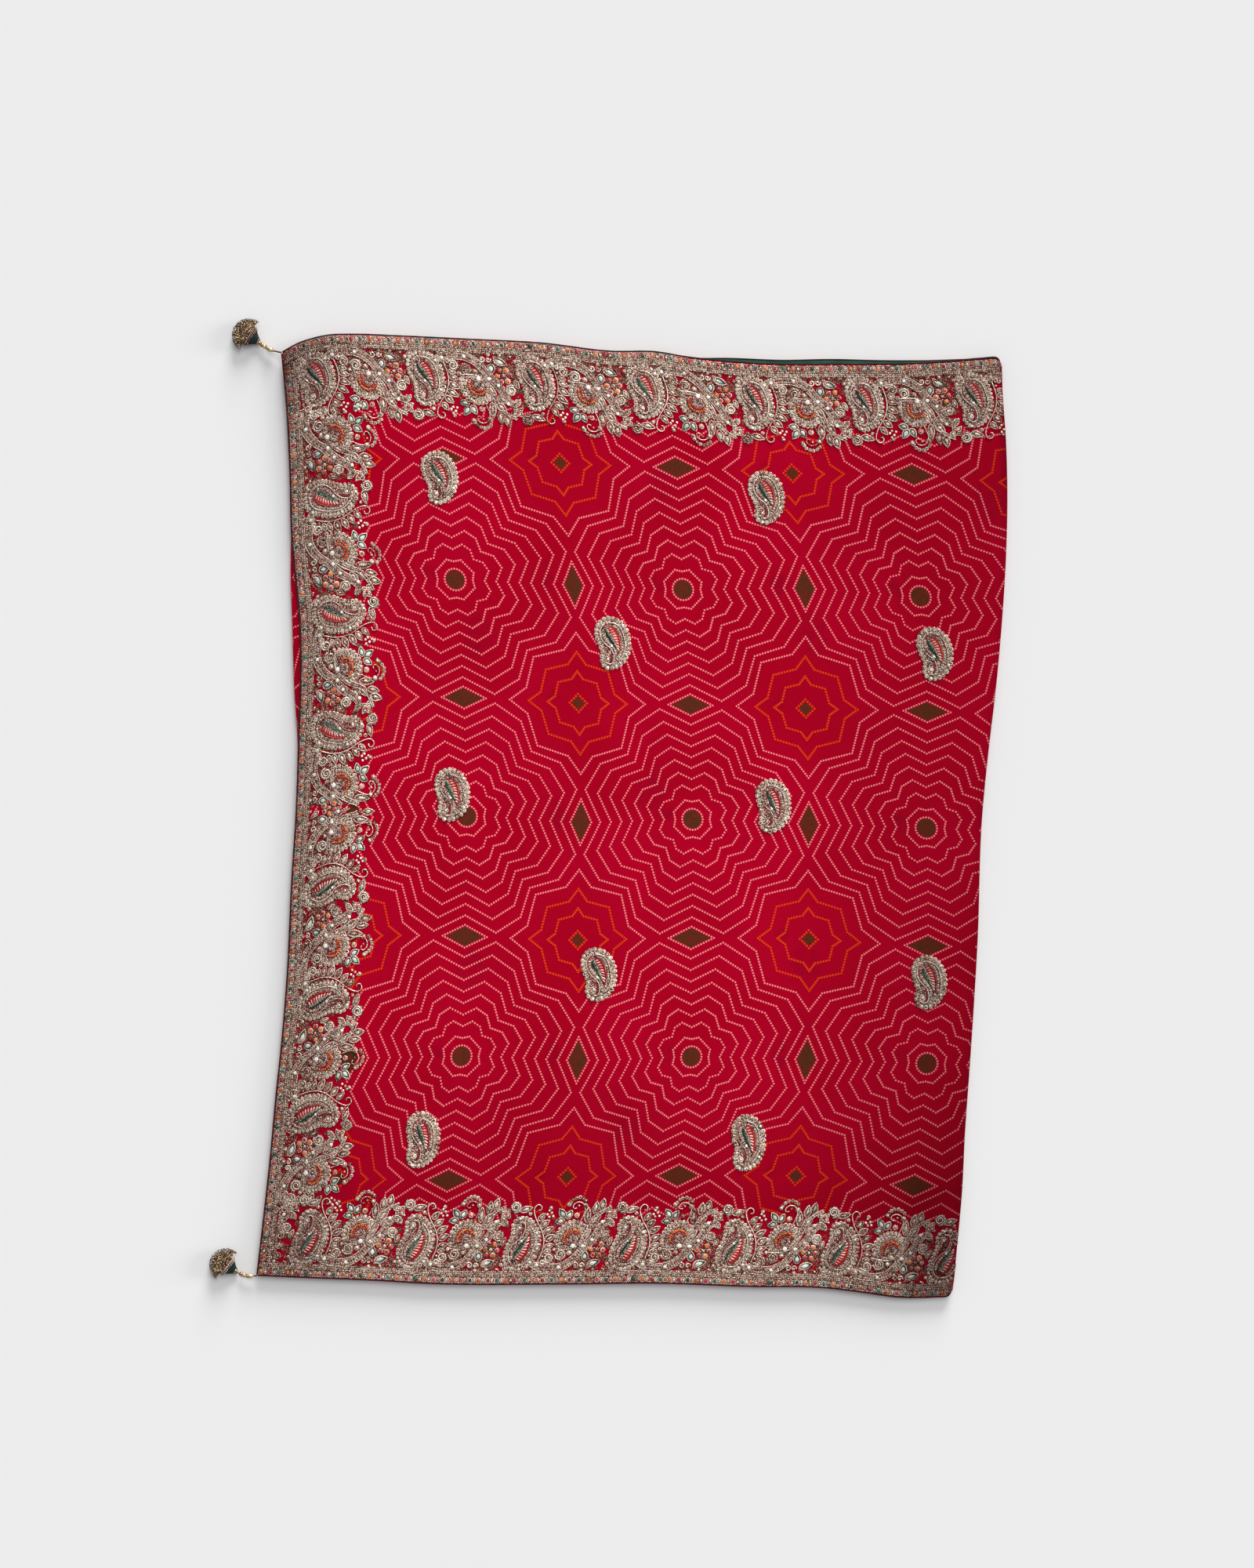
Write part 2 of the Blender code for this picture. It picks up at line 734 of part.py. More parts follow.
def border_outline(border, halves):
    """The outline of one border in cloth coordinates, straight outside and scalloped inside."""
    if border != "end":
        first, pitch, count = BORDER_REPEATS[border]
        marks = along_marks(BORDER_START)
        last = STRETCH_LENGTH - MARK_ROOM
        inner = [(a, CORNER_DEPTH) for a in marks if a <= CORNER_SPAN]
        for k in range(count + 1):
            scallops = [(first + k * pitch + dx, d) for dx, d in SCALLOPS]
            inner += [(a, d) for a, d in scallops if CORNER_SPAN + MARK_ROOM < a < last]
        inner += [(a, inner[-1][1]) for a in marks if a >= STRETCH_LENGTH]
        outer = [(a, BORDER_START) for a in reversed(marks)]
        return [strip_grid(border, a, d) for a, d in outer + inner]
    inner = []
    low, high = CORNER_DEPTH + SEAM_GAP, CLOTH_WIDTH / 2 - MARK_ROOM
    for half in halves:
        first, pitch, count = BORDER_REPEATS[half]
        side = [(low, d) for d in along_marks(BORDER_START) if BORDER_START < d <= CORNER_DEPTH]
        for k in range(-1, count + 1):
            scallops = [(first + k * pitch + dx, d) for dx, d in SCALLOPS]
            side += [(a, d) for a, d in scallops if low + MARK_ROOM < a < high]
        side = [strip_grid(half, a, d) for a, d in side]
        inner += side if half == "end_lower" else side[::-1]
    far = CLOTH_WIDTH - low
    inside = [v for v in width_stations() if low + MARK_ROOM < v < far - MARK_ROOM]
    marks = [low] + inside + [far]
    return inner + [(BORDER_START, v) for v in reversed(marks)]


def fill(points, loops, lines):
    """Triangles over flat points, with every loop and line among their edges."""
    edges = [(loop[k - 1], loop[k]) for loop in loops for k in range(len(loop))] + lines
    flat = [Vector((float(x), float(y))) for x, y in points]
    _, _, faces, origin, _, _ = delaunay_2d_cdt(flat, edges, [], 1, 1e-4)
    triangles = []
    for face in faces:
        a, b, c = (origin[i][0] for i in face)
        (ax, ay), (bx, by), (cx, cy) = points[a], points[b], points[c]
        area = (bx - ax) * (cy - ay) - (cx - ax) * (by - ay)
        triangles.append((a, b, c) if area > 0 else (a, c, b))
    return triangles


def border(name):
    """One embroidered border: a thin skin with scalloped edge, raised paisleys and shell flowers."""
    halves = ("end_lower", "end_upper") if name == "end" else (name,)
    outline = [tuple(float(n) for n in p) for p in border_outline(name, halves)]
    points = list(outline)
    lifts = [0.0] * len(points)
    loops = [list(range(len(points)))]

    def add_ring(half, ring, lift):
        loops.append(list(range(len(points), len(points) + len(ring))))
        for along, depth in ring:
            points.append(tuple(float(n) for n in strip_grid(half, along, depth)))
            lifts.append(lift)

    for half in halves:
        first, pitch, count = BORDER_REPEATS[half]
        for k in range(count):
            middle = first + k * pitch
            for share, lift in BORDER_RINGS:
                ring = ring_points(PAISLEY_OUTLINE, share * MOTIF_SCALE)
                add_ring(half, [(middle + x, MOTIF_DEPTH - y) for x, y in ring], lift)
            leaf = ring_points(LEAF_OUTLINE, MOTIF_SCALE)
            add_ring(half, [(middle + x, MOTIF_DEPTH - y) for x, y in leaf], BORDER_LEAF_HEIGHT)
            heart = middle + FLOWER_ALONG
            limit = STRETCH_LENGTH if name != "end" else CLOTH_WIDTH / 2
            if heart + FLOWER_RADIUS > limit - MARK_ROOM:
                continue
            angles = 2 * np.pi * np.arange(FLOWER_SIDES) / FLOWER_SIDES
            petals = [(np.cos(a) * FLOWER_RADIUS, np.sin(a) * FLOWER_RADIUS) for a in angles]
            for share, lift in FLOWER_RINGS:
                ring = ring_points(petals, share, (heart, FLOWER_DEPTH))
                add_ring(half, ring, lift)
            points.append(tuple(float(n) for n in strip_grid(half, heart, FLOWER_DEPTH)))
            lifts.append(FLOWER_HEART_HEIGHT)
    lines = []
    if name != "end":
        for mark in [STRETCH_LENGTH] + list(fold_mark(turn_angles(WRAP_STEPS))):
            ends = [k for k, p in enumerate(outline) if abs(p[0] - mark) < 1e-6]
            lines.append(tuple(ends))
    lift = WALL + SEAM_GAP
    upper_faces = fill(points, loops, lines)
    lower_faces = fill(outline, loops[:1], lines)
    flat = np.array(points)
    upper = on_cloth(flat[:, 0], flat[:, 1], lift + BORDER_THICK + np.array(lifts))
    lower = on_cloth(flat[: len(outline), 0], flat[: len(outline), 1], lift)
    start = len(points)
    faces = list(upper_faces)
    faces += [(start + a, start + c, start + b) for a, b, c in lower_faces]
    count = len(outline)
    faces += [(k, start + k, start + (k + 1) % count, (k + 1) % count) for k in range(count)]
    return add_solid(f"border_{name}", list(upper) + list(lower), faces, "embroidery")


def loose_paisley(number, middle):
    """One thick paisley on the field: nested rings that rise to its rim and to the leaf inside."""
    base = SEAM_GAP + TOP_BASE + WALL
    points = []
    rings = [(ring_points(PAISLEY_OUTLINE, PAISLEY_RINGS[0][0]), 0.0)]
    rings += [(ring_points(PAISLEY_OUTLINE, share), height) for share, height in PAISLEY_RINGS]
    for ring, height in rings:
        for dx, dy in ring:
            x, y = middle[0] + dx, middle[1] + dy
            points.append((x, y, float(pile_top(x, y)) + base + height))
    sides = len(PAISLEY_OUTLINE)
    faces = ring_faces(len(rings), sides)
    inner = [len(points) - sides + k for k in range(sides)]
    leaf = []
    for dx, dy in LEAF_OUTLINE:
        x, y = middle[0] + dx, middle[1] + dy
        leaf.append(len(points))
        points.append((x, y, float(pile_top(x, y)) + base + PAISLEY_LEAF_HEIGHT))
    chosen = inner + leaf
    flat = [(points[i][0], points[i][1]) for i in chosen]
    loops = [list(range(sides)), list(range(sides, sides + len(leaf)))]
    faces += [tuple(chosen[i] for i in face) for face in fill(flat, loops, [])]
    hub = len(points)
    x, y = middle
    points.append((x, y, float(pile_top(x, y)) + base))
    faces += [(k, (k + 1) % sides, hub) for k in range(sides)]
    return add_solid(f"paisley_{number:02d}", points, faces, "embroidery")


class TasselFrame:
    """Places a tassel's own coordinates: along its axis, to its left, and up."""

    def __init__(self, x, y, angle):
        turn = np.radians(angle)
        self.mouth = np.array((x, y, MOUTH_HEIGHT))
        self.along = np.array((np.cos(turn), np.sin(turn), 0.0))
        self.left = np.array((-np.sin(turn), np.cos(turn), 0.0))

    def at(self, along, left, up):
        """A point that far from the middle of the tassel's mouth, the cone's tip sinking a little."""
        sink = TASSEL_AXIS_RISE * min(0.0, along) / CONE_LENGTH
        return self.mouth + self.along * along + self.left * left + np.array((0.0, 0.0, up + sink))


def oval_body(name, frame, rings, finish_name):
    """A body of oval rings across the tassel's axis. Each ring has its place and its two half sizes."""
    points = []
    for along, wide, high in rings:
        for k in range(HEAD_SIDES):
            angle = 2 * np.pi * k / HEAD_SIDES
            points.append(frame.at(along, wide * np.cos(angle), high * np.sin(angle)))
    faces = ring_faces(len(rings), HEAD_SIDES) + end_caps(len(rings), HEAD_SIDES)
    return add_solid(name, points, faces, finish_name)


def tassel_cone(name, frame):
    """The stiff cloth cone over the strands."""
    start = -RIM_LENGTH - SEAM_GAP * 2
    rings = []
    for share in np.linspace(0.0, 1.0, 5):
        swell = np.sin(share * np.pi / 2) ** 0.9
        wide = MOUTH_HALF_WIDTH + (CONE_TIP_RADIUS - MOUTH_HALF_WIDTH) * swell
        high = MOUTH_HALF_HEIGHT + (CONE_TIP_RADIUS - MOUTH_HALF_HEIGHT) * swell
        rings.append((start - CONE_LENGTH * share, wide, high))
    return oval_body(f"tassel_{name}_cone", frame, rings, "backing")


def tassel_rim(name, frame):
    """The band of stones round the cone's mouth."""
    near, far = -SEAM_GAP, -SEAM_GAP - RIM_LENGTH
    rings = []
    for along, swell in ((near, 0.0), (near - 0.5, RIM_SWELL), (far + 0.5, RIM_SWELL), (far, 0.0)):
        rings.append((along, MOUTH_HALF_WIDTH + swell, MOUTH_HALF_HEIGHT + swell))
    return oval_body(f"tassel_{name}_rim", frame, rings, "gold")


def round_grid(i, j, columns, rows):
    """A point of a square grid drawn into a circle of radius 1."""
    x = 2 * i / columns - 1
    y = 2 * j / rows - 1
    return x * np.sqrt(1 - y * y / 2), y * np.sqrt(1 - x * x / 2)


def tassel_strands(name, frame):
    """Strands that fan out from one head. Each grows from its own cell of the head's face."""
    columns, rows = STRAND_COLUMNS, STRAND_ROWS
    shape = bmesh.new()
    front, back = {}, {}
    for i in range(columns + 1):
        for j in range(rows + 1):
            left, up = round_grid(i, j, columns, rows)
            left *= MOUTH_HALF_WIDTH - HEAD_INSET
            up *= MOUTH_HALF_HEIGHT - HEAD_INSET
            front[i, j] = shape.verts.new(frame.at(HEAD_LENGTH, left, up))
            back[i, j] = shape.verts.new(frame.at(0.0, left, up))
    cells = []
    for i in range(columns):
        for j in range(rows):
            corners = [(i, j), (i + 1, j), (i + 1, j + 1), (i, j + 1)]
            cells.append((shape.faces.new([front[c] for c in corners]), i + 0.5, j + 0.5))
            shape.faces.new([back[c] for c in reversed(corners)])
    rim = [(i, 0) for i in range(columns)] + [(columns, j) for j in range(rows)]
    rim += [(i, rows) for i in range(columns, 0, -1)] + [(0, j) for j in range(rows, 0, -1)]
    for k, here in enumerate(rim):
        after = rim[(k + 1) % len(rim)]
        shape.faces.new((front[here], back[here], back[after], front[after]))
    bmesh.ops.inset_individual(shape, faces=[c[0] for c in cells], thickness=STRAND_INSET, depth=0.0)
    for cell, i, j in cells:
        left, up = round_grid(i, j, columns, rows)
        turn = np.radians(FAN_ANGLE) * left
        rise = np.radians(FAN_RISE_ANGLE) * up
        reach = FAN_LENGTH * (0.94 + 0.06 * np.cos(3.0 * i + 2.0 * j))
        tip = frame.at(
            reach * np.cos(turn) * np.cos(rise) + HEAD_LENGTH,
            FAN_HALF_WIDTH * np.sin(turn),
            FAN_HALF_HEIGHT * np.sin(rise) / np.sin(np.radians(FAN_RISE_ANGLE)),
        )
        root = np.array(cell.calc_center_median())
        knee = frame.at(
            HEAD_LENGTH + 0.5 * reach * np.cos(turn) ** 0.5,
            left * (MOUTH_HALF_WIDTH + KNEE_SPREAD),
            up * (MOUTH_HALF_HEIGHT - HEAD_INSET),
        )
        for station, aim in ((knee, knee - root), (tip, tip - knee)):
            aim = aim / np.linalg.norm(aim)
            beside = np.cross(aim, (0.0, 0.0, 1.0))
            beside /= np.linalg.norm(beside)
            above = np.cross(beside, aim)
            ring = bmesh.ops.extrude_discrete_faces(shape, faces=[cell])
            cell = ring["faces"][0]
            place_section(cell, station, beside, above)
    for vert in shape.verts:
        vert.co = vert.co * MM
    bmesh.ops.recalc_face_normals(shape, faces=shape.faces)
    mesh = bpy.data.meshes.new(f"tassel_{name}_strands")
    shape.to_mesh(mesh)
    shape.free()
    mesh.materials.append(finish("beads"))
    made = bpy.data.objects.new(mesh.name, mesh)
    bpy.context.scene.collection.objects.link(made)
    return made


def place_section(face, middle, beside, above):
    """Square a strand's section up round a point, each corner keeping its own quarter."""
    old = np.array(face.calc_center_median())
    half = STRAND_WIDTH / 2
    corners = list(face.verts)
    away = [np.array(v.co) - old for v in corners]
    order = np.argsort([np.arctan2(np.dot(a, above), np.dot(a, beside)) for a in away])
    quarter = ((-1, -1), (1, -1), (1, 1), (-1, 1))
    for rank, index in enumerate(order):
        across, up = quarter[rank]
        corners[index].co = Vector(middle + beside * across * half + above * up * half)


def tassel_cord(name, frame, start):
    """The beaded cord from the saree's corner to the cone's tip."""
    tip = frame.at(-RIM_LENGTH - SEAM_GAP * 2 - CONE_LENGTH - CORD_LAST_GAP, 0.0, 0.0)
    lie = float(pile_top(start[0] + CORD_START_INSIDE, start[1]))
    start = np.array((start[0], start[1], lie + TOP_BASE + WALL / 2))
    path, radii = [], []
    for share, radius in CORD_PROFILE:
        sag = CORD_SAG * np.sin(np.pi * share)
        path.append(start + (tip - start) * share - np.array((0.0, sag, 0.0)))
        radii.append(radius)
    return add_tube(f"tassel_{name}_cord", path, radii, CORD_SIDES, "gold")


def build():
    """Clear the file and make every sub-part."""
    for old in list(bpy.data.objects):
        bpy.data.objects.remove(old, do_unlink=True)
    folded_stretches()
    second_stretch()
    top_stretch()
    second_backing()
    second_piping()
    for name in ("top", "end", "bottom"):
        piping(name)
        gem_strip(name)
        border(name)
    for number, middle in enumerate(PAISLEY_PLACES, 1):
        loose_paisley(number, middle)
    for name, x, y, angle, start_x, start_y in TASSELS:
        frame = TasselFrame(x, y, angle)
        tassel_cone(name, frame)
        tassel_rim(name, frame)
        tassel_strands(name, frame)
        tassel_cord(name, frame, (start_x, start_y))


build()
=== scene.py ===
# %% [markdown]
# # A bandhani saree, folded and laid flat
#
# This file dresses a plain model of a folded saree: a crimson crepe cloth with tied and dyed dots,
# embroidered borders with stones and beads, ten raised paisleys and two tassels. It is a lesson in cells.
# Each cell makes one piece or one finish and prints what it made.

# %% Start from the plain model
import json
import math

import bmesh
import bpy
import numpy as np
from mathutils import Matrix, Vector

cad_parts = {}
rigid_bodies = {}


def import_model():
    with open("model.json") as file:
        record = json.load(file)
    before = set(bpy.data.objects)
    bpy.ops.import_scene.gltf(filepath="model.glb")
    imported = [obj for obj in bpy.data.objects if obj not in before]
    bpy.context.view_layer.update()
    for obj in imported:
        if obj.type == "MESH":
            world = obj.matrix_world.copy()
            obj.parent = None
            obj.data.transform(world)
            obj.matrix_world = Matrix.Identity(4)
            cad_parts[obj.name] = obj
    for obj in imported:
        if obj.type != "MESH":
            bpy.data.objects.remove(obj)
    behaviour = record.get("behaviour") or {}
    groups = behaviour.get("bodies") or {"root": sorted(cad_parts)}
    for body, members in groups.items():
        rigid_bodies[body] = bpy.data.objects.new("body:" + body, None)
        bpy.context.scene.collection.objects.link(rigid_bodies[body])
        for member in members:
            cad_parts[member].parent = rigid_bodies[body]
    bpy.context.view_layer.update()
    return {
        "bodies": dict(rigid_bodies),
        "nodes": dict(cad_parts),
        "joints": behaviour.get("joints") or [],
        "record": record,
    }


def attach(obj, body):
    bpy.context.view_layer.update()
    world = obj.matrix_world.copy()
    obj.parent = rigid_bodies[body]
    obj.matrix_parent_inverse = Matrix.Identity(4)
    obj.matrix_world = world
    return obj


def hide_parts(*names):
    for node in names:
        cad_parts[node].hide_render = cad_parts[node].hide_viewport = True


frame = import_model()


def select_none():
    for other in list(bpy.context.selected_objects):
        other.select_set(False)


select_none()
print("nodes in the plain model:", len(frame["nodes"]))

# %% [markdown]
# The saree's own shape comes first. Its edges are read from short tables of places along each edge,
# measured in millimetres from the middle, and a smooth curve runs through each table. Every later piece is
# placed with these curves, so the borders and stones follow the cloth wherever it bends.

# %% The cloth's edges
MM = 0.001
WALL = 1.5
STRETCH = 855.0
WIDTH = 1125.0
ROOM = 2.3
FOLD_ROOM = 2.6
FOLD_INNER = 0.7
SECOND_BASE = 0.3
TOP_BASE = 3.2

# pallu end: y, x
END_EDGE = (
    (-568, -425), (-504, -417.5), (-428, -409), (-352, -402), (-276, -394), (-200, -388), (-86, -382.5),
    (-10, -377.5), (94, -374), (160, -372), (218, -373), (328, -383), (408, -385), (484, -389), (549, -395),
)
# right fold: y, x
FOLD_EDGE = (
    (-594, 418.5), (-542, 423), (-466, 430), (-390, 434), (-314, 439.5), (-162, 449), (-10, 454.6),
    (66, 462), (142, 471), (218, 478), (294, 483), (370, 485), (446, 483), (503, 479), (545, 478),
)
# upper edge: x, y
TOP_EDGE = (
    (-395, 549), (-375, 560.5), (-356, 567), (-337, 571), (-308, 572), (-251, 570), (-166, 566),
    (-80, 561.5), (5, 551.5), (62, 550.5), (91, 545.5), (145, 539.6), (206, 536), (266, 536), (388, 538),
    (417, 540), (478, 545),
)
# lower edge: x, y
BOTTOM_EDGE = (
    (-425, -568), (-356, -571), (-280, -574), (-223, -577.5), (-52, -578.5), (62, -577.5), (176, -581.5),
    (262, -583), (319, -590), (347, -594), (418.5, -594),
)
# how far the second stretch reaches past the top one: share of the edge, distance
PAST_END = (
    (0, -9), (0.25, -7), (0.5, -4), (0.585, 0.5), (0.64, 6.5), (0.7, 8), (0.74, 6.5), (0.8, 0), (0.88, -5),
    (1, -9),
)
PAST_TOP = (
    (0, -7.3), (0.3, -6.3), (0.5, -4.8), (0.57, -2.3), (0.62, 1.7), (0.7, 2.9), (0.76, 3.7), (0.83, 2.2),
    (0.9, 0.7), (0.955, -0.3), (1, -2.3),
)
PAST_BOTTOM = ((0.0, -6.3), (0.5, -5.3), (0.9, -4.3), (1.0, -2.3))


def smooth(table, at):
    """Read a smooth curve through a table's rows, held level past its ends."""
    knots, values = np.array(table, float).T
    slopes = np.gradient(values, knots)
    at = np.clip(np.asarray(at, float), knots[0], knots[-1])
    left = np.clip(np.searchsorted(knots, at, side="right") - 1, 0, len(knots) - 2)
    span = knots[left + 1] - knots[left]
    part = (at - knots[left]) / span
    return (
        (1 + 2 * part) * (1 - part) ** 2 * values[left]
        + part * (1 - part) ** 2 * span * slopes[left]
        + part**2 * (3 - 2 * part) * values[left + 1]
        - part**2 * (1 - part) * span * slopes[left + 1]
    )


def ease(share):
    """Rise smoothly from 0 to 1."""
    share = np.clip(share, 0.0, 1.0)
    return share * share * (3 - 2 * share)


def level(value):
    """A table that gives one value all along."""
    return ((0.0, value), (1.0, value))


class Patch:
    """A sheet's outline in plan, as far past the four edges as four tables say."""

    def __init__(self, end, fold, top, bottom):
        self.past = {"end": end, "fold": fold, "top": top, "bottom": bottom}
        self.corners = {}
        for s, x_edges in ((0, "end"), (1, "fold")):
            for t, y_edges in ((0, "bottom"), (1, "top")):
                edge = TOP_EDGE if t else BOTTOM_EDGE
                x, y = edge[-1] if s else edge[0]
                x += (1 if s else -1) * smooth(self.past[x_edges], t)
                y += (1 if t else -1) * smooth(self.past[y_edges], s)
                self.corners[s, t] = np.array((x, y))

    def side(self, t, s):
        low, high = self.corners[s, 0][1], self.corners[s, 1][1]
        y = low + (high - low) * t
        name, table, sign = ("fold", FOLD_EDGE, 1) if s else ("end", END_EDGE, -1)
        return np.stack((smooth(table, y) + sign * smooth(self.past[name], t), y), -1)

    def rim(self, s, t):
        low, high = self.corners[0, t][0], self.corners[1, t][0]
        x = low + (high - low) * s
        name, table, sign = ("top", TOP_EDGE, 1) if t else ("bottom", BOTTOM_EDGE, -1)
        return np.stack((x, smooth(table, x) + sign * smooth(self.past[name], s)), -1)

    def at(self, s, t):
        """The point at a share of the length and of the width, between the four edges."""
        s, t = np.broadcast_arrays(np.asarray(s, float), np.asarray(t, float))
        across, along = t[..., None], s[..., None]
        blend = (1 - along) * self.side(t, 0) + along * self.side(t, 1)
        blend = blend + (1 - across) * self.rim(s, 0) + across * self.rim(s, 1)
        for (i, j), corner in self.corners.items():
            weight = (along if i else 1 - along) * (across if j else 1 - across)
            blend = blend - weight * corner
        return blend


TOP = Patch(level(-ROOM), level(-FOLD_ROOM), level(-ROOM), level(-ROOM))
SECOND = Patch(PAST_END, level(-FOLD_ROOM), PAST_TOP, PAST_BOTTOM)
print("top stretch corners in mm:", [tuple(c.round(1)) for c in TOP.corners.values()])

# %% [markdown]
# Cloth that has been folded and carried keeps soft creases. A simulation would place them by chance, so
# they are laid in one by one here: each is a line across the field, with a height that is negative for a
# trough and positive for a ridge. The pile below is thicker under the borders, because the embroidery of
# every stretch lies there, and thinner towards the fold.

# %% The height of the cloth
# height, half width, points of the line in plan
CREASES = (
    (-1.1, 30, ((-275, 417), (-270, 227), (-222, 132), (-137, 37), (-132, -105))),
    (0.9, 38, ((-57, 389), (-23, 227), (20, 37), (20, -134))),
    (-1, 22, ((-10, 350), (12, 190), (52, 20), (50, -150))),
    (-0.9, 26, ((-118, -419), (-4, -305), (34, -181))),
    (0.8, 24, ((34, -457), (186, -333))),
    (-0.6, 18, ((224, -381), (309, -438))),
    (0.7, 20, ((-270, -58), (-242, -153))),
    (0.9, 22, ((-268, -343), (-270, -457))),
    (-0.8, 26, ((-137, 503), (-118, 370))),
    (0.9, 26, ((130, 330), (190, 150), (180, -30))),
    (-0.7, 30, ((260, 430), (300, 250), (290, 60))),
    (0.7, 30, ((330, 60), (300, -150), (340, -330))),
    (-0.8, 24, ((-200, -150), (-90, -260), (-60, -380))),
    (0.6, 20, ((100, -60), (180, -170), (200, -280))),
    (0.8, 8, ((398, -318), (403, -360), (398, -405))),
)
LOWEST_CREASE = -1.2
CREASE_FADE = 110.0
CORNER_RADIUS = 8.0
CORNER_REACH = 24.0
PILE_HEIGHT = 6.0
BORDER_RISE = 1.5
BORDER_DEPTH = 90.0
FOLD_DROP = 1.2
SLOPE = 120.0


def pile_top(x, y):
    """Height of the lower pile."""
    from_edge = np.minimum(smooth(TOP_EDGE, x) - y, y - smooth(BOTTOM_EDGE, x))
    rise = BORDER_RISE * (1 - ease((from_edge - BORDER_DEPTH) / SLOPE))
    drop = FOLD_DROP * (1 - ease((smooth(FOLD_EDGE, y) - x) / SLOPE))
    wave = np.sin(2 * np.pi * x / 430.0) * np.cos(2 * np.pi * y / 510.0)
    return PILE_HEIGHT + rise - drop + 0.35 * wave


def crease_height(x, y):
    """What the listed creases add to the top stretch, fading out at the borders."""
    total = np.zeros(np.shape(x))
    for height, half_width, line in CREASES:
        best = np.full(np.shape(x), 1e9)
        for (ax, ay), (bx, by) in zip(line, line[1:]):
            run_x, run_y = bx - ax, by - ay
            length_sq = run_x**2 + run_y**2
            share = ((x - ax) * run_x + (y - ay) * run_y) / length_sq
            held = np.clip(share, 0.0, 1.0)
            past = np.abs(share - held) * math.sqrt(length_sq)
            away = np.hypot(x - ax - held * run_x, y - ay - held * run_y)
            best = np.minimum(best, np.hypot(away, past * 0.4))
        total += height * np.exp(-((best / half_width) ** 2))
    inside = np.minimum(smooth(TOP_EDGE, x) - y, y - smooth(BOTTOM_EDGE, x))
    inside = np.minimum(inside, np.minimum(x - smooth(END_EDGE, y), smooth(FOLD_EDGE, y) - x))
    fine = 0.25 * np.sin(x / 23.0 + 1.7 * np.sin(y / 61.0)) * np.sin(y / 31.0 + 1.3 * np.sin(x / 47.0))
    return np.maximum(total + fine, LOWEST_CREASE) * ease(inside / CREASE_FADE)


def on_cloth(u, v, lift):
    """Place points of the top stretch: u along it, v across it, lift above its inner face."""
    u, v, lift = np.broadcast_arrays(*(np.asarray(n, float) for n in (u, v, lift)))
    t = v / WIDTH
    flat = TOP.at(np.minimum(u / STRETCH, 1.0), t)
    near_fold = np.clip((u - STRETCH) / CORNER_RADIUS + 1, 0.0, 1.0)
    drop = CORNER_RADIUS * (1 - np.sqrt(1 - near_fold**2))
    lower, upper = ease((CORNER_REACH - v) / CORNER_REACH), ease((v - WIDTH + CORNER_REACH) / CORNER_REACH)
    flat[..., 1] += drop * (lower - upper)
    inner = pile_top(flat[..., 0], flat[..., 1]) + TOP_BASE
    inner = inner + crease_height(flat[..., 0], flat[..., 1])
    turn = np.clip(u - STRETCH, 0.0, None) / (FOLD_INNER + WALL / 2)
    turn = np.minimum(turn, math.pi)
    heading = TOP.at(1.0, t) - TOP.at(0.98, t)
    heading = heading / np.linalg.norm(heading, axis=-1, keepdims=True)
    radius = FOLD_INNER + lift
    plan = flat + heading * (radius * np.sin(turn))[..., None]
    z = np.where(turn > 0, inner - FOLD_INNER + radius * np.cos(turn), inner + lift)
    return np.concatenate((plan, z[..., None]), -1)


spots = on_cloth(np.linspace(0, STRETCH, 40)[:, None], np.linspace(0, WIDTH, 50), WALL)
print("top face height in mm:", spots[..., 2].min().round(2), "to", spots[..., 2].max().round(2))

# %% [markdown]
# Materials are written as sums. A small class wraps one output of a node, so that an expression such as
# a * 2 + b adds the Math nodes by itself. Any other node comes from one method, which takes the kind of
# node, its settings and its inputs.

# %% Shader maths as expressions


class Amount:
    """One output of a node, with the sums that a material needs."""

    def __init__(self, finish, socket):
        self.finish = finish
        self.socket = socket

    def maths(self, operation, *others):
        return self.finish.add("Math", {"operation": operation}, (self, *others))

    def __add__(self, other):
        return self.maths("ADD", other)

    __radd__ = __add__

    def __sub__(self, other):
        return self.maths("SUBTRACT", other)

    def __rsub__(self, other):
        return self.finish.add("Math", {"operation": "SUBTRACT"}, (other, self))

    def __mul__(self, other):
        return self.maths("MULTIPLY", other)

    __rmul__ = __mul__

    def __truediv__(self, other):
        return self.maths("DIVIDE", other)

    def __abs__(self):
        return self.maths("ABSOLUTE")

    def __gt__(self, other):
        return self.maths("GREATER_THAN", other)

    def __lt__(self, other):
        return self.maths("LESS_THAN", other)

    def least(self, other):
        return self.maths("MINIMUM", other)

    def most(self, other):
        return self.maths("MAXIMUM", other)

    def rounded(self):
        return self.maths("ROUND")

    def ramp(self, start, end, first, last):
        settings = {"interpolation_type": "SMOOTHSTEP"}
        return self.finish.add("MapRange", settings, {0: self, 1: start, 2: end, 3: first, 4: last})

    def fade(self, start, end):
        """Go smoothly from 1 at start to 0 at end."""
        return self.ramp(start, end, 1.0, 0.0)

    def rise(self, start, end):
        """Go smoothly from 0 at start to 1 at end."""
        return self.ramp(start, end, 0.0, 1.0)


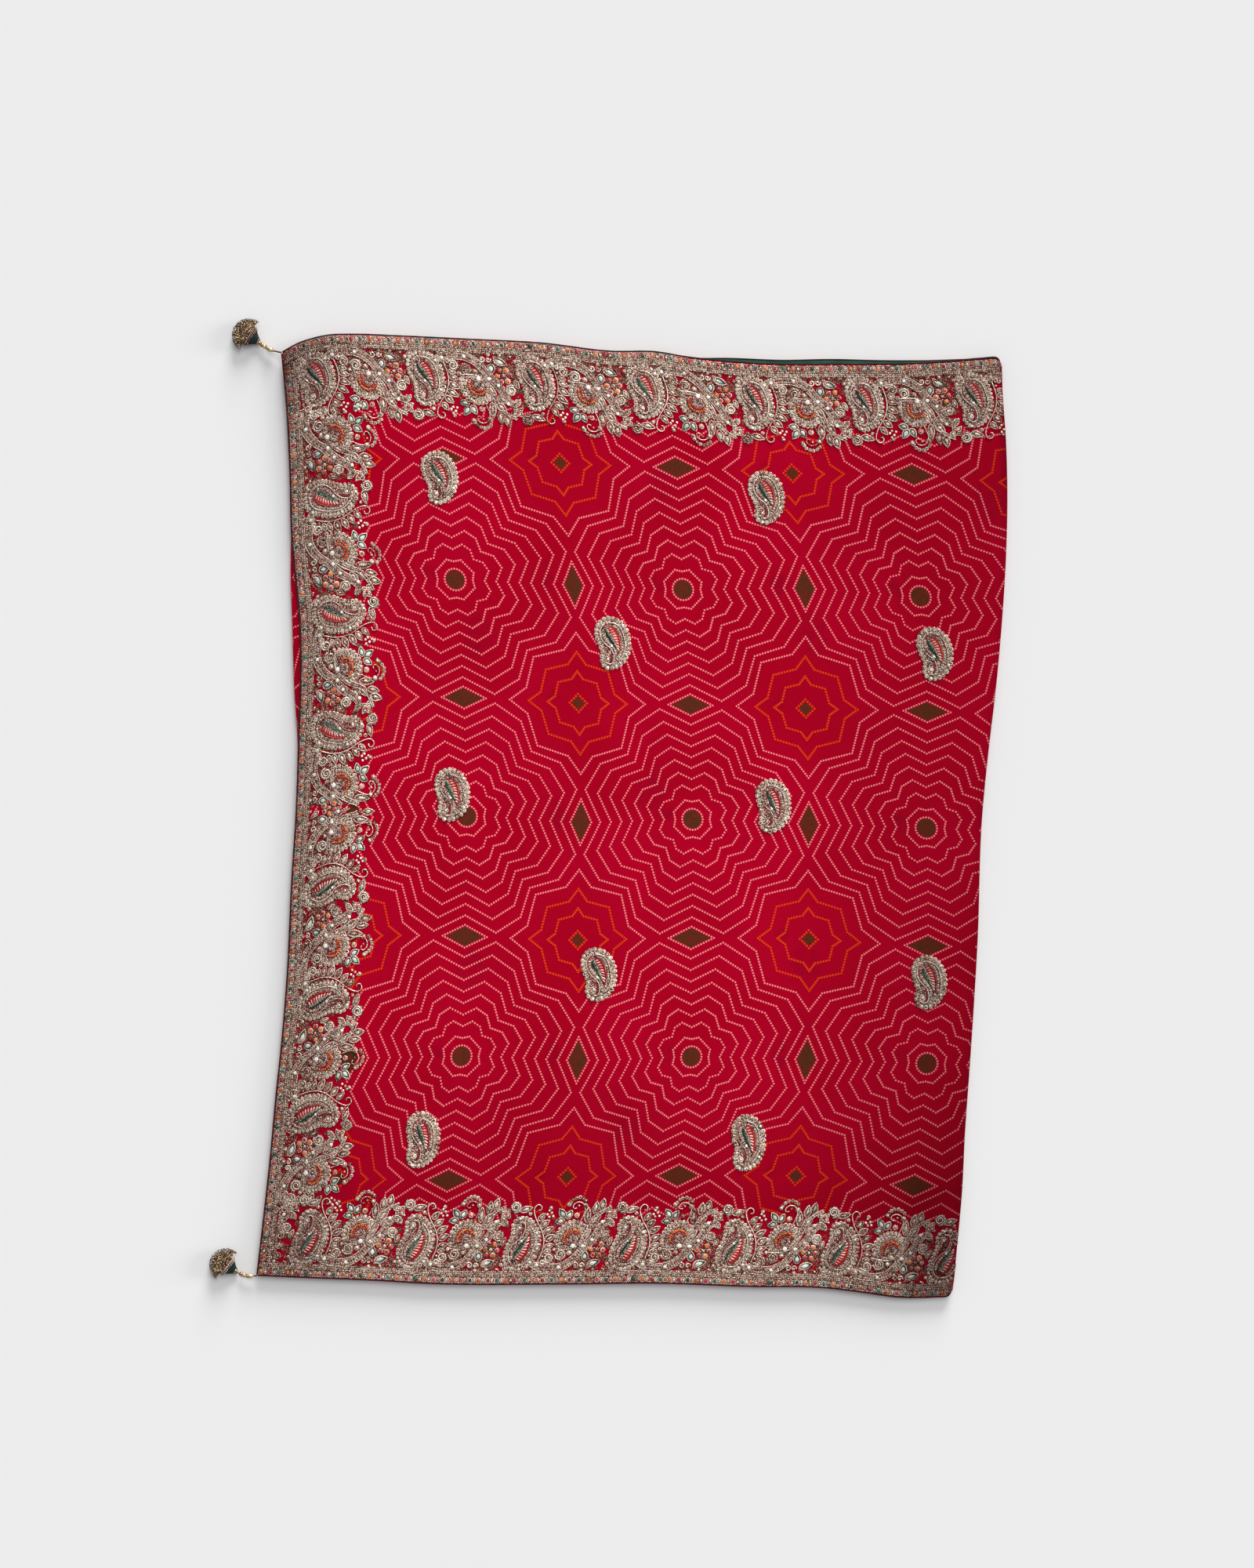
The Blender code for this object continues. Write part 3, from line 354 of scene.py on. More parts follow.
class Finish:
    """A material under way: one Principled shader and the nodes that feed it."""

    def __init__(self, name, roughness=0.6, metallic=0.0, **fixed):
        self.material = bpy.data.materials.new(name)
        self.material.use_nodes = True
        self.tree = self.material.node_tree
        self.shader = self.tree.nodes["Principled BSDF"]
        self.shader.inputs["Roughness"].default_value = roughness
        self.shader.inputs["Metallic"].default_value = metallic
        for socket, value in fixed.items():
            self.shader.inputs[socket.replace("_", " ")].default_value = value

    def add(self, kind, settings=None, inputs=(), out=0):
        """Add a node: its settings first, then a value or a link for each socket."""
        node = self.tree.nodes.new("ShaderNode" + kind)
        for key, value in (settings or {}).items():
            setattr(node, key, value)
        pairs = inputs.items() if isinstance(inputs, dict) else enumerate(inputs)
        for key, value in pairs:
            if isinstance(value, Amount):
                self.tree.links.new(value.socket, node.inputs[key])
            else:
                node.inputs[key].default_value = value
        return Amount(self, node.outputs[out])

    def mix(self, first, second, share):
        """Blend two colours."""
        sockets = {0: share, 6: colour(first), 7: colour(second)}
        return self.add("Mix", {"data_type": "RGBA"}, sockets, out=2)

    def choose(self, first, second, share):
        """Blend two vectors."""
        return self.add("Mix", {"data_type": "VECTOR"}, {0: share, 4: first, 5: second}, out=1)

    def shaded(self, tone, low_edge=0.5, fold=0.15, left=0.2):
        """Painted shade: darker towards the fold, the lower edge, the left edge and the top left corner."""
        x, y = (self.add("SeparateXYZ", {}, (self.place(),), out=n) for n in (0, 1))
        share = x.rise(0.15, 0.47) * (y.fade(-0.25, 0.1) * 0.25 + 0.4) + y.fade(-0.62, -0.2) * low_edge
        # painted shade on the far side of a crease at the lower right
        share = share + x.rise(0.35, 0.378) * y.fade(-0.5, -0.44) * fold
        share = share + x.fade(-0.37, -0.28) * (y.rise(0.46, 0.54) * 0.6 + 1.0) * left
        share = share + x.fade(-0.393, -0.37) * y.rise(0.42, 0.5) * left
        settings = {"data_type": "RGBA", "blend_type": "MULTIPLY"}
        return self.add("Mix", settings, {0: share, 6: tone, 7: colour((162, 152, 152))}, out=2)

    def dot(self, first, second):
        return self.add("VectorMath", {"operation": "DOT_PRODUCT"}, (first, second), out=1)

    def place(self):
        """The point on the object, in metres."""
        return self.add("TexCoord", out=3)

    def noise(self, at, scale, detail=2.0):
        return self.add("TexNoise", {}, {"Vector": at, "Scale": scale, "Detail": detail})

    def cells(self, at, scale):
        return self.add("TexVoronoi", {}, {"Vector": at, "Scale": scale})

    def bump(self, height, distance, strength=1.0):
        return self.add("Bump", {}, {"Height": height, "Distance": distance, "Strength": strength})

    def feed(self, **sockets):
        """Join values to the shader, such as Base_Color or Normal."""
        for name, value in sockets.items():
            self.tree.links.new(value.socket, self.shader.inputs[name.replace("_", " ")])
        return self.material


def colour(value):
    """A colour given as red, green and blue from 0 to 255 as a screen shows them, made linear."""
    if isinstance(value, Amount):
        return value
    shares = [n / 255 for n in value]
    return tuple(n / 12.92 if n <= 0.04045 else ((n + 0.055) / 1.055) ** 2.4 for n in shares) + (1.0,)


print("a colour of 236 is", round(colour((236, 236, 236))[0], 3), "in linear light")

# %% [markdown]
# The dots of a bandhani are tied by hand, one knot after another, along nested outlines. The pattern
# repeats in square cells: a rosette of seven scalloped rings round two small ones, a four-pointed star
# where four cells meet, and a small diamond half way between two rosettes. It is folded eight ways inside
# each cell, so a wedge of an eighth describes it all. A cell isn't quite square on the cloth, so its place
# comes from a UV map, in which whole numbers are the middles of rosettes. A smooth map is fitted to the
# middles of the rosettes, stars and diamonds, as they were read off the picture. Then each of them pulls
# the map near it by what is still missing, as the cloth is stretched unevenly.

# %% Where each cell of the pattern lies
PIXEL = 0.95
HALF_CELL = 148.0
DOT_PITCH = 3.5
# column, row, x, y of each rosette, star and diamond on the cloth, in mm
CELL_PLACES = (
    (0, 0, -183.4, 275), (1, 0, 92.6, 263.2), (2, 0, 379.5, 254.6), (0, 1, -169.6, -11.9),
    (1, 1, 103.6, -15.7), (2, 1, 386.2, -26.1), (0, 2, -176.2, -302.1), (1, 2, 101.2, -303.1),
    (2, 2, 386.2, -311.1), (0.5, -0.5, -56, 416.1), (1.5, -0.5, 224.7, 403.8), (0.5, 0.5, -34.2, 125.4),
    (1.5, 0.5, 240.8, 118.8), (0.5, 1.5, -35.6, -162), (1.5, 1.5, 243.7, -161), (0.5, 2.5, -48.9, -447.5),
    (1.5, 2.5, 227.5, -446.5), (0.5, 0, -40.9, 267.4), (1.5, 0, 238.3, 263.2), (0.5, 1, -31.8, -18.1),
    (1.5, 1, 243.7, -20.9), (0.5, 2, -34.7, -305.9), (1.5, 2, 241.8, -305), (0, -0.5, -197.6, 420.9),
    (1, -0.5, 83.1, 409), (2, -0.5, 369.6, 400.4), (0, 0.5, -173.4, 132.1), (1, 0.5, 100.2, 123),
    (2, 0.5, 386.7, 115), (0, 1.5, -172, -155.8), (1, 1.5, 102.1, -157.7), (2, 1.5, 388.6, -167.7),
    (0, 2.5, -191.9, -451.3), (1, 2.5, 86.9, -445.6), (2, 2.5, 371.5, -457.9),
)
PULL_REACH = 70.0
WAVER = 0.9


def bends(x, y):
    """The terms of the map from a place on the cloth to a cell."""
    x, y = np.asarray(x) / 500.0, np.asarray(y) / 500.0
    return np.stack((np.ones_like(x), x, y, x * y, x * x, y * y), -1)


def pulls(x, y):
    """How strongly each measured place pulls the map near it."""
    away = (np.asarray(x)[..., None] - places[:, 2]) ** 2 + (np.asarray(y)[..., None] - places[:, 3]) ** 2
    return np.exp(-away / (2 * PULL_REACH**2))


places = np.array(CELL_PLACES)
CELL_MAP = np.linalg.lstsq(bends(places[:, 2], places[:, 3]), places[:, :2], rcond=None)[0]
misses = places[:, :2] - bends(places[:, 2], places[:, 3]) @ CELL_MAP
CELL_PULLS = np.linalg.solve(pulls(places[:, 2], places[:, 3]), misses)
print("the smooth map misses a place by up to", (np.abs(misses).max() * 2 * HALF_CELL * PIXEL).round(1), "mm")


def cell_of(x, y):
    """Column and row of a place on the cloth, with a small waver as hand-tied work has."""
    waver_x = WAVER * np.sin(y / 37.0 + 0.8) * np.sin(x / 53.0)
    waver_y = WAVER * np.sin(x / 41.0 + 2.1) * np.sin(y / 59.0 + 1.0)
    x, y = x + waver_x, y + waver_y
    return bends(x, y) @ CELL_MAP + pulls(x, y) @ CELL_PULLS


# %% [markdown]
# One nested outline is a chain of straight sides. For each side the material needs its normal, its tangent
# and its length at radius 1. The nearest ring comes from rounding the distance along the normal, and the
# nearest dot from rounding the distance along the side. The result is how far a point is from that dot.

# %% Dots along nested outlines
def polar(degrees, radius):
    return np.array((math.cos(math.radians(degrees)), math.sin(math.radians(degrees)))) * radius


def side_facts(start, end):
    """Normal, tangent and (distance, start along the side, length) of one side at radius 1."""
    run = end - start
    length = float(np.linalg.norm(run))
    tangent = run / length
    normal = np.array((tangent[1], -tangent[0]))
    facts = (float(start @ normal), float(start @ tangent), length)
    return (*normal, 0.0), (*tangent, 0.0), facts


def length_of(a, b):
    """How long a step is, from its two parts."""
    return (a * a + b * b).maths("SQRT")


def dotted(finish, point, angle, corners, first, step, last):
    """Distance to the nearest dot of nested outlines, and which ring it is on. Corners: degrees, radius."""
    ends = [polar(*corner) for corner in corners]
    sides = [side_facts(a, b) for a, b in zip(ends, ends[1:])]
    normal, tangent, facts = sides[0]
    for place, side in enumerate(sides[1:], 1):
        beyond = angle > math.radians(corners[place][0])
        normal = finish.choose(normal, side[0], beyond)
        tangent = finish.choose(tangent, side[1], beyond)
        facts = finish.choose(facts, side[2], beyond)
    out = finish.dot(point, normal)
    along = finish.dot(point, tangent)
    if last:
        distance, start, length = (finish.add("SeparateXYZ", {}, (facts,), out=n) for n in range(3))
        ring = ((out / distance - first) / step).rounded().most(0.0).least(float(last))
        radius = ring * step + first
        side_length = radius * length
        pitch = side_length / (side_length / DOT_PITCH).rounded().most(1.0)
    else:
        distance, start, length = facts
        ring, radius = 0.0, first
        pitch = radius * length / max(1, round(radius * length / DOT_PITCH))
    steps = (along - radius * start) / pitch
    off_along = (steps - steps.rounded()) * pitch
    off_out = out - radius * distance
    return length_of(off_along, off_out), ring


def circled(angle, away, radius, count):
    """Distance to the nearest of some dots evenly spaced on a circle."""
    turns = angle / (2 * math.pi / count)
    off_along = (turns - turns.rounded()) * (2 * math.pi / count * radius)
    return length_of(off_along, away - radius)


print("a dot about every", round(DOT_PITCH * PIXEL, 1), "mm")

# %% [markdown]
# The cloth itself is crepe georgette: dull, finely pebbled, a deep crimson that the dye left a little
# uneven. The pebbles and the uneven dye are noise. The dots were tied off before the last dye bath, so they
# keep the paler pink or orange of the bath before it, and each is a little brighter in its middle.

# %% The bandhani finish
DIAMOND_WIDE = 14.0
DIAMOND_TALL = 29.0
# nested outlines: corners of one eighth in degrees and radius, then first ring, step and last ring
ROSETTE = (((0, 1.0), (16, 1.21), (31, 1.16), (45, 0.98)), 37.0, 14.2, 6)
HEART = (((0, 1.0), (21, 1.157), (45, 1.058)), 22.3, 2 * HALF_CELL, 1)
STAR = (((0, 1.0), (13.86, 0.7725), (45, 0.89)), 39.5, 24.25, 2)
SQUARE = (((0, 1.0), (45, 0.7071)), 11.2, 1.0, 0)
DIAMOND = (((0, DIAMOND_WIDE), (90, DIAMOND_TALL)), 1.0, 1.0, 0)
EYE_RADIUS, EYE_DOTS = 13.3, 24
DOT_INNER = 1.0
DOT_OUTER = 1.72
# paisleys of the layer below that show through, in m
GHOSTS = (
    (-0.158, 0.206), (0.067, 0.389), (0.247, 0.210), (0.053, 0.018), (-0.166, -0.196), (0.241, -0.191),
    (0.021, -0.386), (0.463, 0.370),
)


def folded(made, cell, shift):
    """How far a point is from the middle of its cell, along and across, whichever side it is on."""
    moved = made.add("VectorMath", {"operation": "ADD"}, (cell, (*shift, 0.0)))
    moved = made.add("VectorMath", {"operation": "FRACTION"}, (moved,))
    parts = (made.add("SeparateXYZ", {}, (moved,), out=n) for n in (0, 1))
    return (abs(part - 0.5) * (2 * HALF_CELL) for part in parts)


def layer_below(made, cell, spots):
    """Where the dark knots and paisleys of the cloth below show through, as soft patches."""
    column, row = folded(made, cell, (0.61, 0.52))
    heart = length_of(column, row).fade(5.0, 15.0)
    star = (HALF_CELL - column + (HALF_CELL - row)).fade(4.0, 14.0)
    diamond = ((HALF_CELL - column) / 14.0 + row / 28.0).fade(0.4, 1.2)
    patch = heart.most(star).most(diamond)
    for place in GHOSTS:
        away = made.add("VectorMath", {"operation": "SUBTRACT"}, (spots, (*place, 0.0)))
        away = made.add("VectorMath", {"operation": "MULTIPLY"}, (away, (1.3, 0.9, 0.0)))
        away = made.add("VectorMath", {"operation": "LENGTH"}, (away,), out=1)
        patch = patch.most(away.fade(0.012, 0.034) * 0.8)
    return patch * made.noise(spots, 130.0, 3.0).rise(0.25, 0.7)


def bandhani(name, ground_deep, ground_bright):
    """Crimson crepe with its tied dots."""
    made = Finish(name, roughness=0.9, Specular_IOR_Level=0.03)
    cell = made.add("UVMap", {"uv_map": "cells"})
    column, row = folded(made, cell, (0.5, 0.5))
    far, near = column.most(row), column.least(row)

    wedge = made.add("CombineXYZ", {}, (far, near, 0.0))
    angle = near.maths("ARCTAN2", far)
    rosette, _ = dotted(made, wedge, angle, *ROSETTE)
    heart, _ = dotted(made, wedge, angle, *HEART)
    away = length_of(far, near)
    eye = circled(angle, away, EYE_RADIUS, EYE_DOTS)

    from_star, beside_star = HALF_CELL - near, HALF_CELL - far
    star_wedge = made.add("CombineXYZ", {}, (from_star, beside_star, 0.0))
    star_angle = beside_star.maths("ARCTAN2", from_star)
    star, star_ring = dotted(made, star_wedge, star_angle, *STAR)
    square, _ = dotted(made, star_wedge, star_angle, *SQUARE)

    diamond_point = made.add("CombineXYZ", {}, (beside_star, near, 0.0))
    diamond, _ = dotted(made, diamond_point, angle, *DIAMOND)

    pale = rosette.least(heart).least(eye).least(diamond).least(star + (star_ring < 1.5) * 100.0)
    orange = square.least(star + (star_ring > 1.5) * 100.0)
    spots = made.place()
    wander = made.noise(spots, 260.0, 1.0)
    size = (wander - 0.5) * 0.5
    pale_dots = (pale + size).fade(DOT_INNER, DOT_OUTER)
    orange_dots = (orange + size).fade(DOT_INNER + 0.25, DOT_OUTER + 0.3)
    strength = wander * 0.35 + 0.8

    heart_fill = away.fade(11.2, 12.0)
    square_fill = (from_star + beside_star).fade(7.8, 9.4)
    diamond_fill = (beside_star / DIAMOND_WIDE + near / DIAMOND_TALL).fade(0.8, 0.9)
    filled = heart_fill.most(square_fill).most(diamond_fill)

    dye = made.noise(spots, 7.0, 3.0)
    ground = made.mix(ground_deep, ground_bright, dye.rise(0.32, 0.68))
    grain = made.noise(spots, 520.0, 2.0)
    ground = made.mix(ground, (120, 0, 24), grain.rise(0.5, 0.85) * 0.35)
    ground = made.mix(ground, (126, 4, 34), layer_below(made, cell, spots) * 0.5)
    specks = made.noise(spots, 420.0, 1.0)
    fill = made.mix((80, 46, 24), (132, 22, 32), specks.rise(0.45, 0.62) * 0.6)
    cloth = made.mix(ground, fill, filled)
    light_dot = made.mix((226, 70, 84), (252, 156, 156), pale.fade(0.3, 1.5))
    cloth = made.mix(cloth, light_dot, pale_dots * strength)
    warm_dot = made.mix((204, 34, 12), (230, 78, 26), orange.fade(0.3, 1.5))
    cloth = made.mix(cloth, warm_dot, orange_dots * strength)

    pebble = grain * 0.35 + made.noise(spots, 150.0, 2.0) * 0.65
    raised = pebble + (pale_dots + orange_dots) * 0.8
    # painted shade: darker towards the fold and the edges, darkest where the cloth turns down at the fold
    dim = made.add("Attribute", {"attribute_name": "dim"}, out=2)
    cloth = made.mix(made.shaded(cloth), (34, 2, 10), dim)
    return made.feed(Base_Color=cloth, Normal=made.bump(raised, 0.0004, 0.5))


crimson = bandhani("crimson_crepe", (168, 0, 32), (178, 0, 37))
print("nodes in the bandhani finish:", len(crimson.node_tree.nodes))

# %% [markdown]
# A sheet of cloth is a grid of points: one direction runs along the saree, the other across it. The grid
# gets its thickness from a Solidify modifier, which is then applied, and its UV map from the cells of the
# dot pattern.

# %% Sheets from grids of points


def activate(ob):
    """Make one object the only selected one."""
    select_none()
    bpy.context.view_layer.objects.active = ob
    ob.select_set(True)
    return ob


def apply_modifiers(ob):
    activate(ob)
    for modifier in list(ob.modifiers):
        bpy.ops.object.modifier_apply(modifier=modifier.name)
    return ob


def dress(piece, node):
    """Tie a piece to the one body and hide the plain solid that it stands for."""
    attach(piece, "root")
    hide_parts(node)


def triangles(ob):
    return sum(len(face.vertices) - 2 for face in ob.data.polygons)


def new_piece(name, points, faces, material):
    """A mesh object from points in millimetres."""
    mesh = bpy.data.meshes.new(name)
    mesh.from_pydata([tuple(p) for p in (np.asarray(points) * MM).tolist()], [], faces)
    mesh.materials.append(material)
    ob = bpy.data.objects.new(name, mesh)
    bpy.context.scene.collection.objects.link(ob)
    mesh.shade_smooth()
    return ob


def sheet_piece(name, grid, plan, thickness, material, dim=0.0):
    """A sheet through a grid of points, thickened below, with its cell map read from its place in plan."""
    rows, columns = grid.shape[:2]
    starts = [i * columns + j for i in range(rows - 1) for j in range(columns - 1)]
    faces = [(n, n + columns, n + columns + 1, n + 1) for n in starts]
    ob = new_piece(name, grid.reshape(-1, 3), faces, material)
    cells = cell_of(plan[..., 0].ravel(), plan[..., 1].ravel())
    corners = np.zeros(len(ob.data.loops), int)
    ob.data.loops.foreach_get("vertex_index", corners)
    ob.data.uv_layers.new(name="cells").data.foreach_set("uv", cells[corners].ravel())
    # how much painted shade each point gets where the cloth turns down at the fold
    fold_shades = np.array(np.broadcast_to(dim, (rows, columns)), float)
    ob.data.attributes.new("dim", "FLOAT", "POINT").data.foreach_set("value", fold_shades.ravel())
    wall = ob.modifiers.new("wall", "SOLIDIFY")
    wall.thickness = thickness * MM
    wall.offset = -1.0
    return apply_modifiers(ob)


print("objects still selected:", len(bpy.context.selected_objects))

# %% [markdown]
# The top stretch runs from the pallu end on the left to the fold on the right, turns down there and runs
# back a little below. Its own creases come from the table above.

# %% The top stretch
CLOTH_STEP = 9.0
FOLD_TURNS = 8
RETURN = 40.0
SHELL = 1.2

along = np.linspace(0.0, STRETCH, round(STRETCH / CLOTH_STEP))
along = np.concatenate((along[:-1], STRETCH - CORNER_RADIUS * np.array((1.0, 0.6, 0.3, 0.12, 0.04, 0.0))))
turned = STRETCH + np.linspace(0.0, math.pi * (FOLD_INNER + WALL / 2), FOLD_TURNS + 1)[1:]
across = np.linspace(0.0, WIDTH, round(WIDTH / CLOTH_STEP))
u_marks = np.concatenate((along, turned))
upper = on_cloth(u_marks[:, None], across, WALL)
back = 1 - np.array((0.5, 1.0)) * RETURN / STRETCH
under = SECOND.at(back[:, None], across / WIDTH)
under_z = pile_top(under[..., 0], under[..., 1]) + SECOND_BASE
under = np.concatenate((under, under_z[..., None]), -1)
grid = np.concatenate((upper, under))
flat_u = np.concatenate((u_marks, STRETCH + RETURN * np.array((0.6, 1.1))))
plan = TOP.at(np.minimum(flat_u / STRETCH, 1.0)[:, None], across / WIDTH)
plan[..., 0] += np.maximum(flat_u - STRETCH, 0.0)[:, None]
# painted shade where the top stretch turns down at the fold, more of it near the upper edge
dim = np.interp(flat_u, (STRETCH - 8, STRETCH - 0.5, STRETCH + 1.5), (0.0, 0.4, 1.0))
dim = dim[:, None] * (0.35 + 0.5 * ease((across - 900.0) / 150.0))
top_cloth = sheet_piece("top_cloth", grid, plan, SHELL, crimson, dim)
dress(top_cloth, "top_stretch")
print("top stretch:", triangles(top_cloth), "triangles")

# %% [markdown]
# The second stretch lies face down below it and turns down round its own fold on the left, where a sliver
# of it shows past the pallu end. The four stretches below are one sheet folded back and forth, so that each
# side of the pile shows its layers and its folds.

# %% The stretches below
LAYERS = 4
LAYER_REACH = (0.0, -1.4, 0.6, -0.8)
PILE_INSET = 2.9
LOWER_STEP = 24.0
LOWER_SHELL = 1.0
SECOND_INNER = 0.15


def wider(table, reach):
    return tuple((place, past + reach) for place, past in table)


share = np.linspace(1 - (RETURN + 0.3) / STRETCH, 0.0, 36)
t_marks = np.linspace(0.0, 1.0, round(1.5 * WIDTH / LOWER_STEP))
plan = SECOND.at(share[:, None], t_marks)
plan[-1, :, 0] += SECOND_INNER + WALL
height = pile_top(plan[..., 0], plan[..., 1]) + SECOND_BASE
rows = [np.concatenate((plan, (height + WALL)[..., None]), -1)]
axis = np.concatenate((plan[-1], (height[-1] - SECOND_INNER)[:, None]), -1)
for angle in np.radians((30, 60, 90, 120, 150, 180)):
    outward = np.array((-math.sin(angle), 0.0, math.cos(angle)))
    rows.append((axis + (SECOND_INNER + WALL) * outward)[None])
rows.append(rows[-1] + (10.0, 0.0, 0.0))
grid = np.concatenate(rows)
turned_plan = [plan[-1:] - (past, 0.0) for past in (2.0, 3.0, 4.0, 5.0, 6.0, 7.0, 16.0)]
plan = np.concatenate((plan, *turned_plan))
second_cloth = sheet_piece("second_cloth", grid[:, ::-1], plan[:, ::-1], SHELL, crimson)
dress(second_cloth, "second_stretch")

rows, plans = [], []
for layer in range(LAYERS):
    reach = LAYER_REACH[layer] - PILE_INSET
    tables = (wider(PAST_END, reach), level(reach - 1.0), wider(PAST_TOP, reach), wider(PAST_BOTTOM, reach))
    patch = Patch(*tables)
    order = np.linspace(0.0, 1.0, round(0.5 * STRETCH / LOWER_STEP))
    if layer % 2:
        order = order[::-1]
    plan = patch.at(order[:, None], t_marks)
    depth = 1 - (layer + 0.5) / LAYERS
    middle = pile_top(plan[..., 0], plan[..., 1])
    if layer == 0:
        near_fold = ease((plan[..., 0] - plan[0, :, 0]) / 22.0)
        middle = middle - 1.8 * (1 - near_fold)
    height = middle * depth + LOWER_SHELL / 2
    rows.append(np.concatenate((plan, height[..., None]), -1))
    plans.append(plan)
path, path_plan = [], []
for layer in range(LAYERS):
    path.append(rows[layer])
    path_plan.append(plans[layer])
    if layer + 1 < LAYERS:
        here, below = rows[layer][-1], rows[layer + 1][0]
        outward = 1.0 if layer % 2 == 0 else -1.0
        for angle in np.radians((45, 90, 135)):
            gap = (here - below) / 2
            turn = (here + below) / 2 + gap * math.cos(angle)
            turn[:, 0] += outward * np.abs(gap[:, 2]) * math.sin(angle) * 1.2
            path.append(turn[None])
            path_plan.append(plans[layer][-1:])
grid, plan = np.concatenate(path), np.concatenate(path_plan)
lower_cloth = sheet_piece("lower_cloth", grid, plan, LOWER_SHELL, crimson)
dress(lower_cloth, "folded_stretches")
print("stretches below:", triangles(second_cloth) + triangles(lower_cloth), "triangles")

# %% [markdown]
# Metal thread work is built from a few small things that are used over and over: a knot, a pearl, a ring of
# wire, a sequin, a cut stone and a seed bead. Each is modelled once from a primitive, with edit-mode tools,
# and kept as a list of points and triangles. Copies of it are then set down wherever the embroidery has
# one.

# %% Small things that repeat


def take(ob):
    """Read a finished shape's points and triangles, and remove it from the scene."""
    shape = bmesh.new()
    shape.from_mesh(ob.data)
    bmesh.ops.triangulate(shape, faces=shape.faces[:])
    shape.verts.index_update()
    points = np.array([tuple(v.co) for v in shape.verts])
    corners = np.array([[v.index for v in face.verts] for face in shape.faces])
    shape.free()
    bpy.data.objects.remove(ob, do_unlink=True)
    return points, corners


def begin(add, **sizes):
    """Add one primitive with nothing else selected."""
    select_none()
    add(**sizes)
    return bpy.context.active_object


def half(ob):
    """Cut away what lies below the middle."""
    bpy.ops.object.mode_set(mode="EDIT")
    bpy.ops.mesh.select_all(action="SELECT")
    bpy.ops.mesh.bisect(plane_co=(0, 0, 0), plane_no=(0, 0, 1), clear_inner=True)
    bpy.ops.object.mode_set(mode="OBJECT")
    return ob


def inset_top(ob, thickness, rise):
    """Inset the faces that look up, and raise them."""
    bpy.ops.object.mode_set(mode="EDIT")
    bpy.ops.mesh.select_mode(type="FACE")
    bpy.ops.mesh.select_all(action="DESELECT")
    bpy.ops.object.mode_set(mode="OBJECT")
    for face in ob.data.polygons:
        face.select = face.normal.z > 0.9
    bpy.ops.object.mode_set(mode="EDIT")
    bpy.ops.mesh.inset(thickness=thickness, depth=0.0)
    bpy.ops.transform.translate(value=(0, 0, rise))
    bpy.ops.object.mode_set(mode="OBJECT")
    return ob


ops = bpy.ops.mesh


def ball(segments, rings):
    return begin(ops.primitive_uv_sphere_add, segments=segments, ring_count=rings, radius=1.0)


def wire_ring(segments, reach, wire):
    """A ring of wire that has three sides."""
    sizes = {"major_segments": segments, "minor_segments": 3, "major_radius": reach, "minor_radius": wire}
    return begin(ops.primitive_torus_add, **sizes)


KNOT, PEARL = take(half(ball(5, 4))), take(half(ball(8, 6)))
BEAD, BIG_BEAD = take(ball(6, 3)), take(ball(16, 10))
RINGLET, EYELET = take(wire_ring(8, 0.7, 0.3)), take(wire_ring(6, 0.68, 0.32))
SEQUIN = take(inset_top(begin(ops.primitive_cylinder_add, vertices=8, radius=1.0, depth=0.12), 0.55, -0.05))
STONE = take(
    inset_top(begin(ops.primitive_cone_add, vertices=8, radius1=1.0, radius2=0.72, depth=0.8), 0.2, 0.15)
)
counts = {name: len(shape[1]) for name, shape in (("knot", KNOT), ("pearl", PEARL), ("ring", RINGLET))}
print("triangles of", counts)

# %% [markdown]
# Cords and bands follow lines. An embroiderer marks a few points and draws a smooth line through them, and
# so do these helpers. They also measure a line, move it sideways, and join lines or rings of points with
# triangles.

# %% Lines and strips


def curve_through(points, step=1.6):
    """A smooth line through a few points, in even short steps."""
    points = np.asarray(points, float)
    padded = np.vstack((2 * points[0] - points[1], points, 2 * points[-1] - points[-2]))
    fine = []
    for before, here, after, beyond in zip(padded, padded[1:], padded[2:], padded[3:]):
        for t in np.linspace(0.0, 1.0, 9)[:-1]:
            first = 2 * here + (after - before) * t
            second = (2 * before - 5 * here + 4 * after - beyond) * t**2
            third = (3 * here - before - 3 * after + beyond) * t**3
            fine.append((first + second + third) / 2)
    fine = np.array(fine + [points[-1]])
    runs = lengths_along(fine)
    even = np.linspace(0.0, runs[-1], max(2, round(runs[-1] / step) + 1))
    return np.stack([np.interp(even, runs, fine[:, n]) for n in range(fine.shape[1])], -1)


def lengths_along(path):
    """The distance run at each point of a line."""
    return np.concatenate(((0.0,), np.cumsum(np.linalg.norm(np.diff(path, axis=0), axis=1))))


def beside(path, distance):
    """The same line moved to its left."""
    heading = np.gradient(path, axis=0)
    heading /= np.linalg.norm(heading, axis=1, keepdims=True)
    return path + np.stack((-heading[:, 1], heading[:, 0]), -1) * np.reshape(distance, (-1, 1))


def strip(low, high, count, closed=True):
    """Triangles between two rings or lines of points, from where each begins."""
    corners = []
    for k in range(count if closed else count - 1):
        after = (k + 1) % count
        corners += [(low + k, low + after, high + after), (low + k, high + after, high + k)]
    return corners


def rings_joined(count, sides, closed=False):
    """Triangles between rings of points, one ring after another."""
    corners = []
    for i in range(count if closed else count - 1):
        corners += strip(i * sides, (i + 1) % count * sides, sides)
    if not closed:
        last = (count - 1) * sides
        for k in range(1, sides - 1):
            corners += [(0, k + 1, k), (last, last + k, last + k + 1)]
    return np.array(corners)


def full_turn(count):
    """Even angles round a full turn."""
    return np.linspace(0.0, 2 * math.pi, count, endpoint=False)


print("a line through 3 points has", len(curve_through(((0, 0), (5, 2), (10, 0)))), "places")
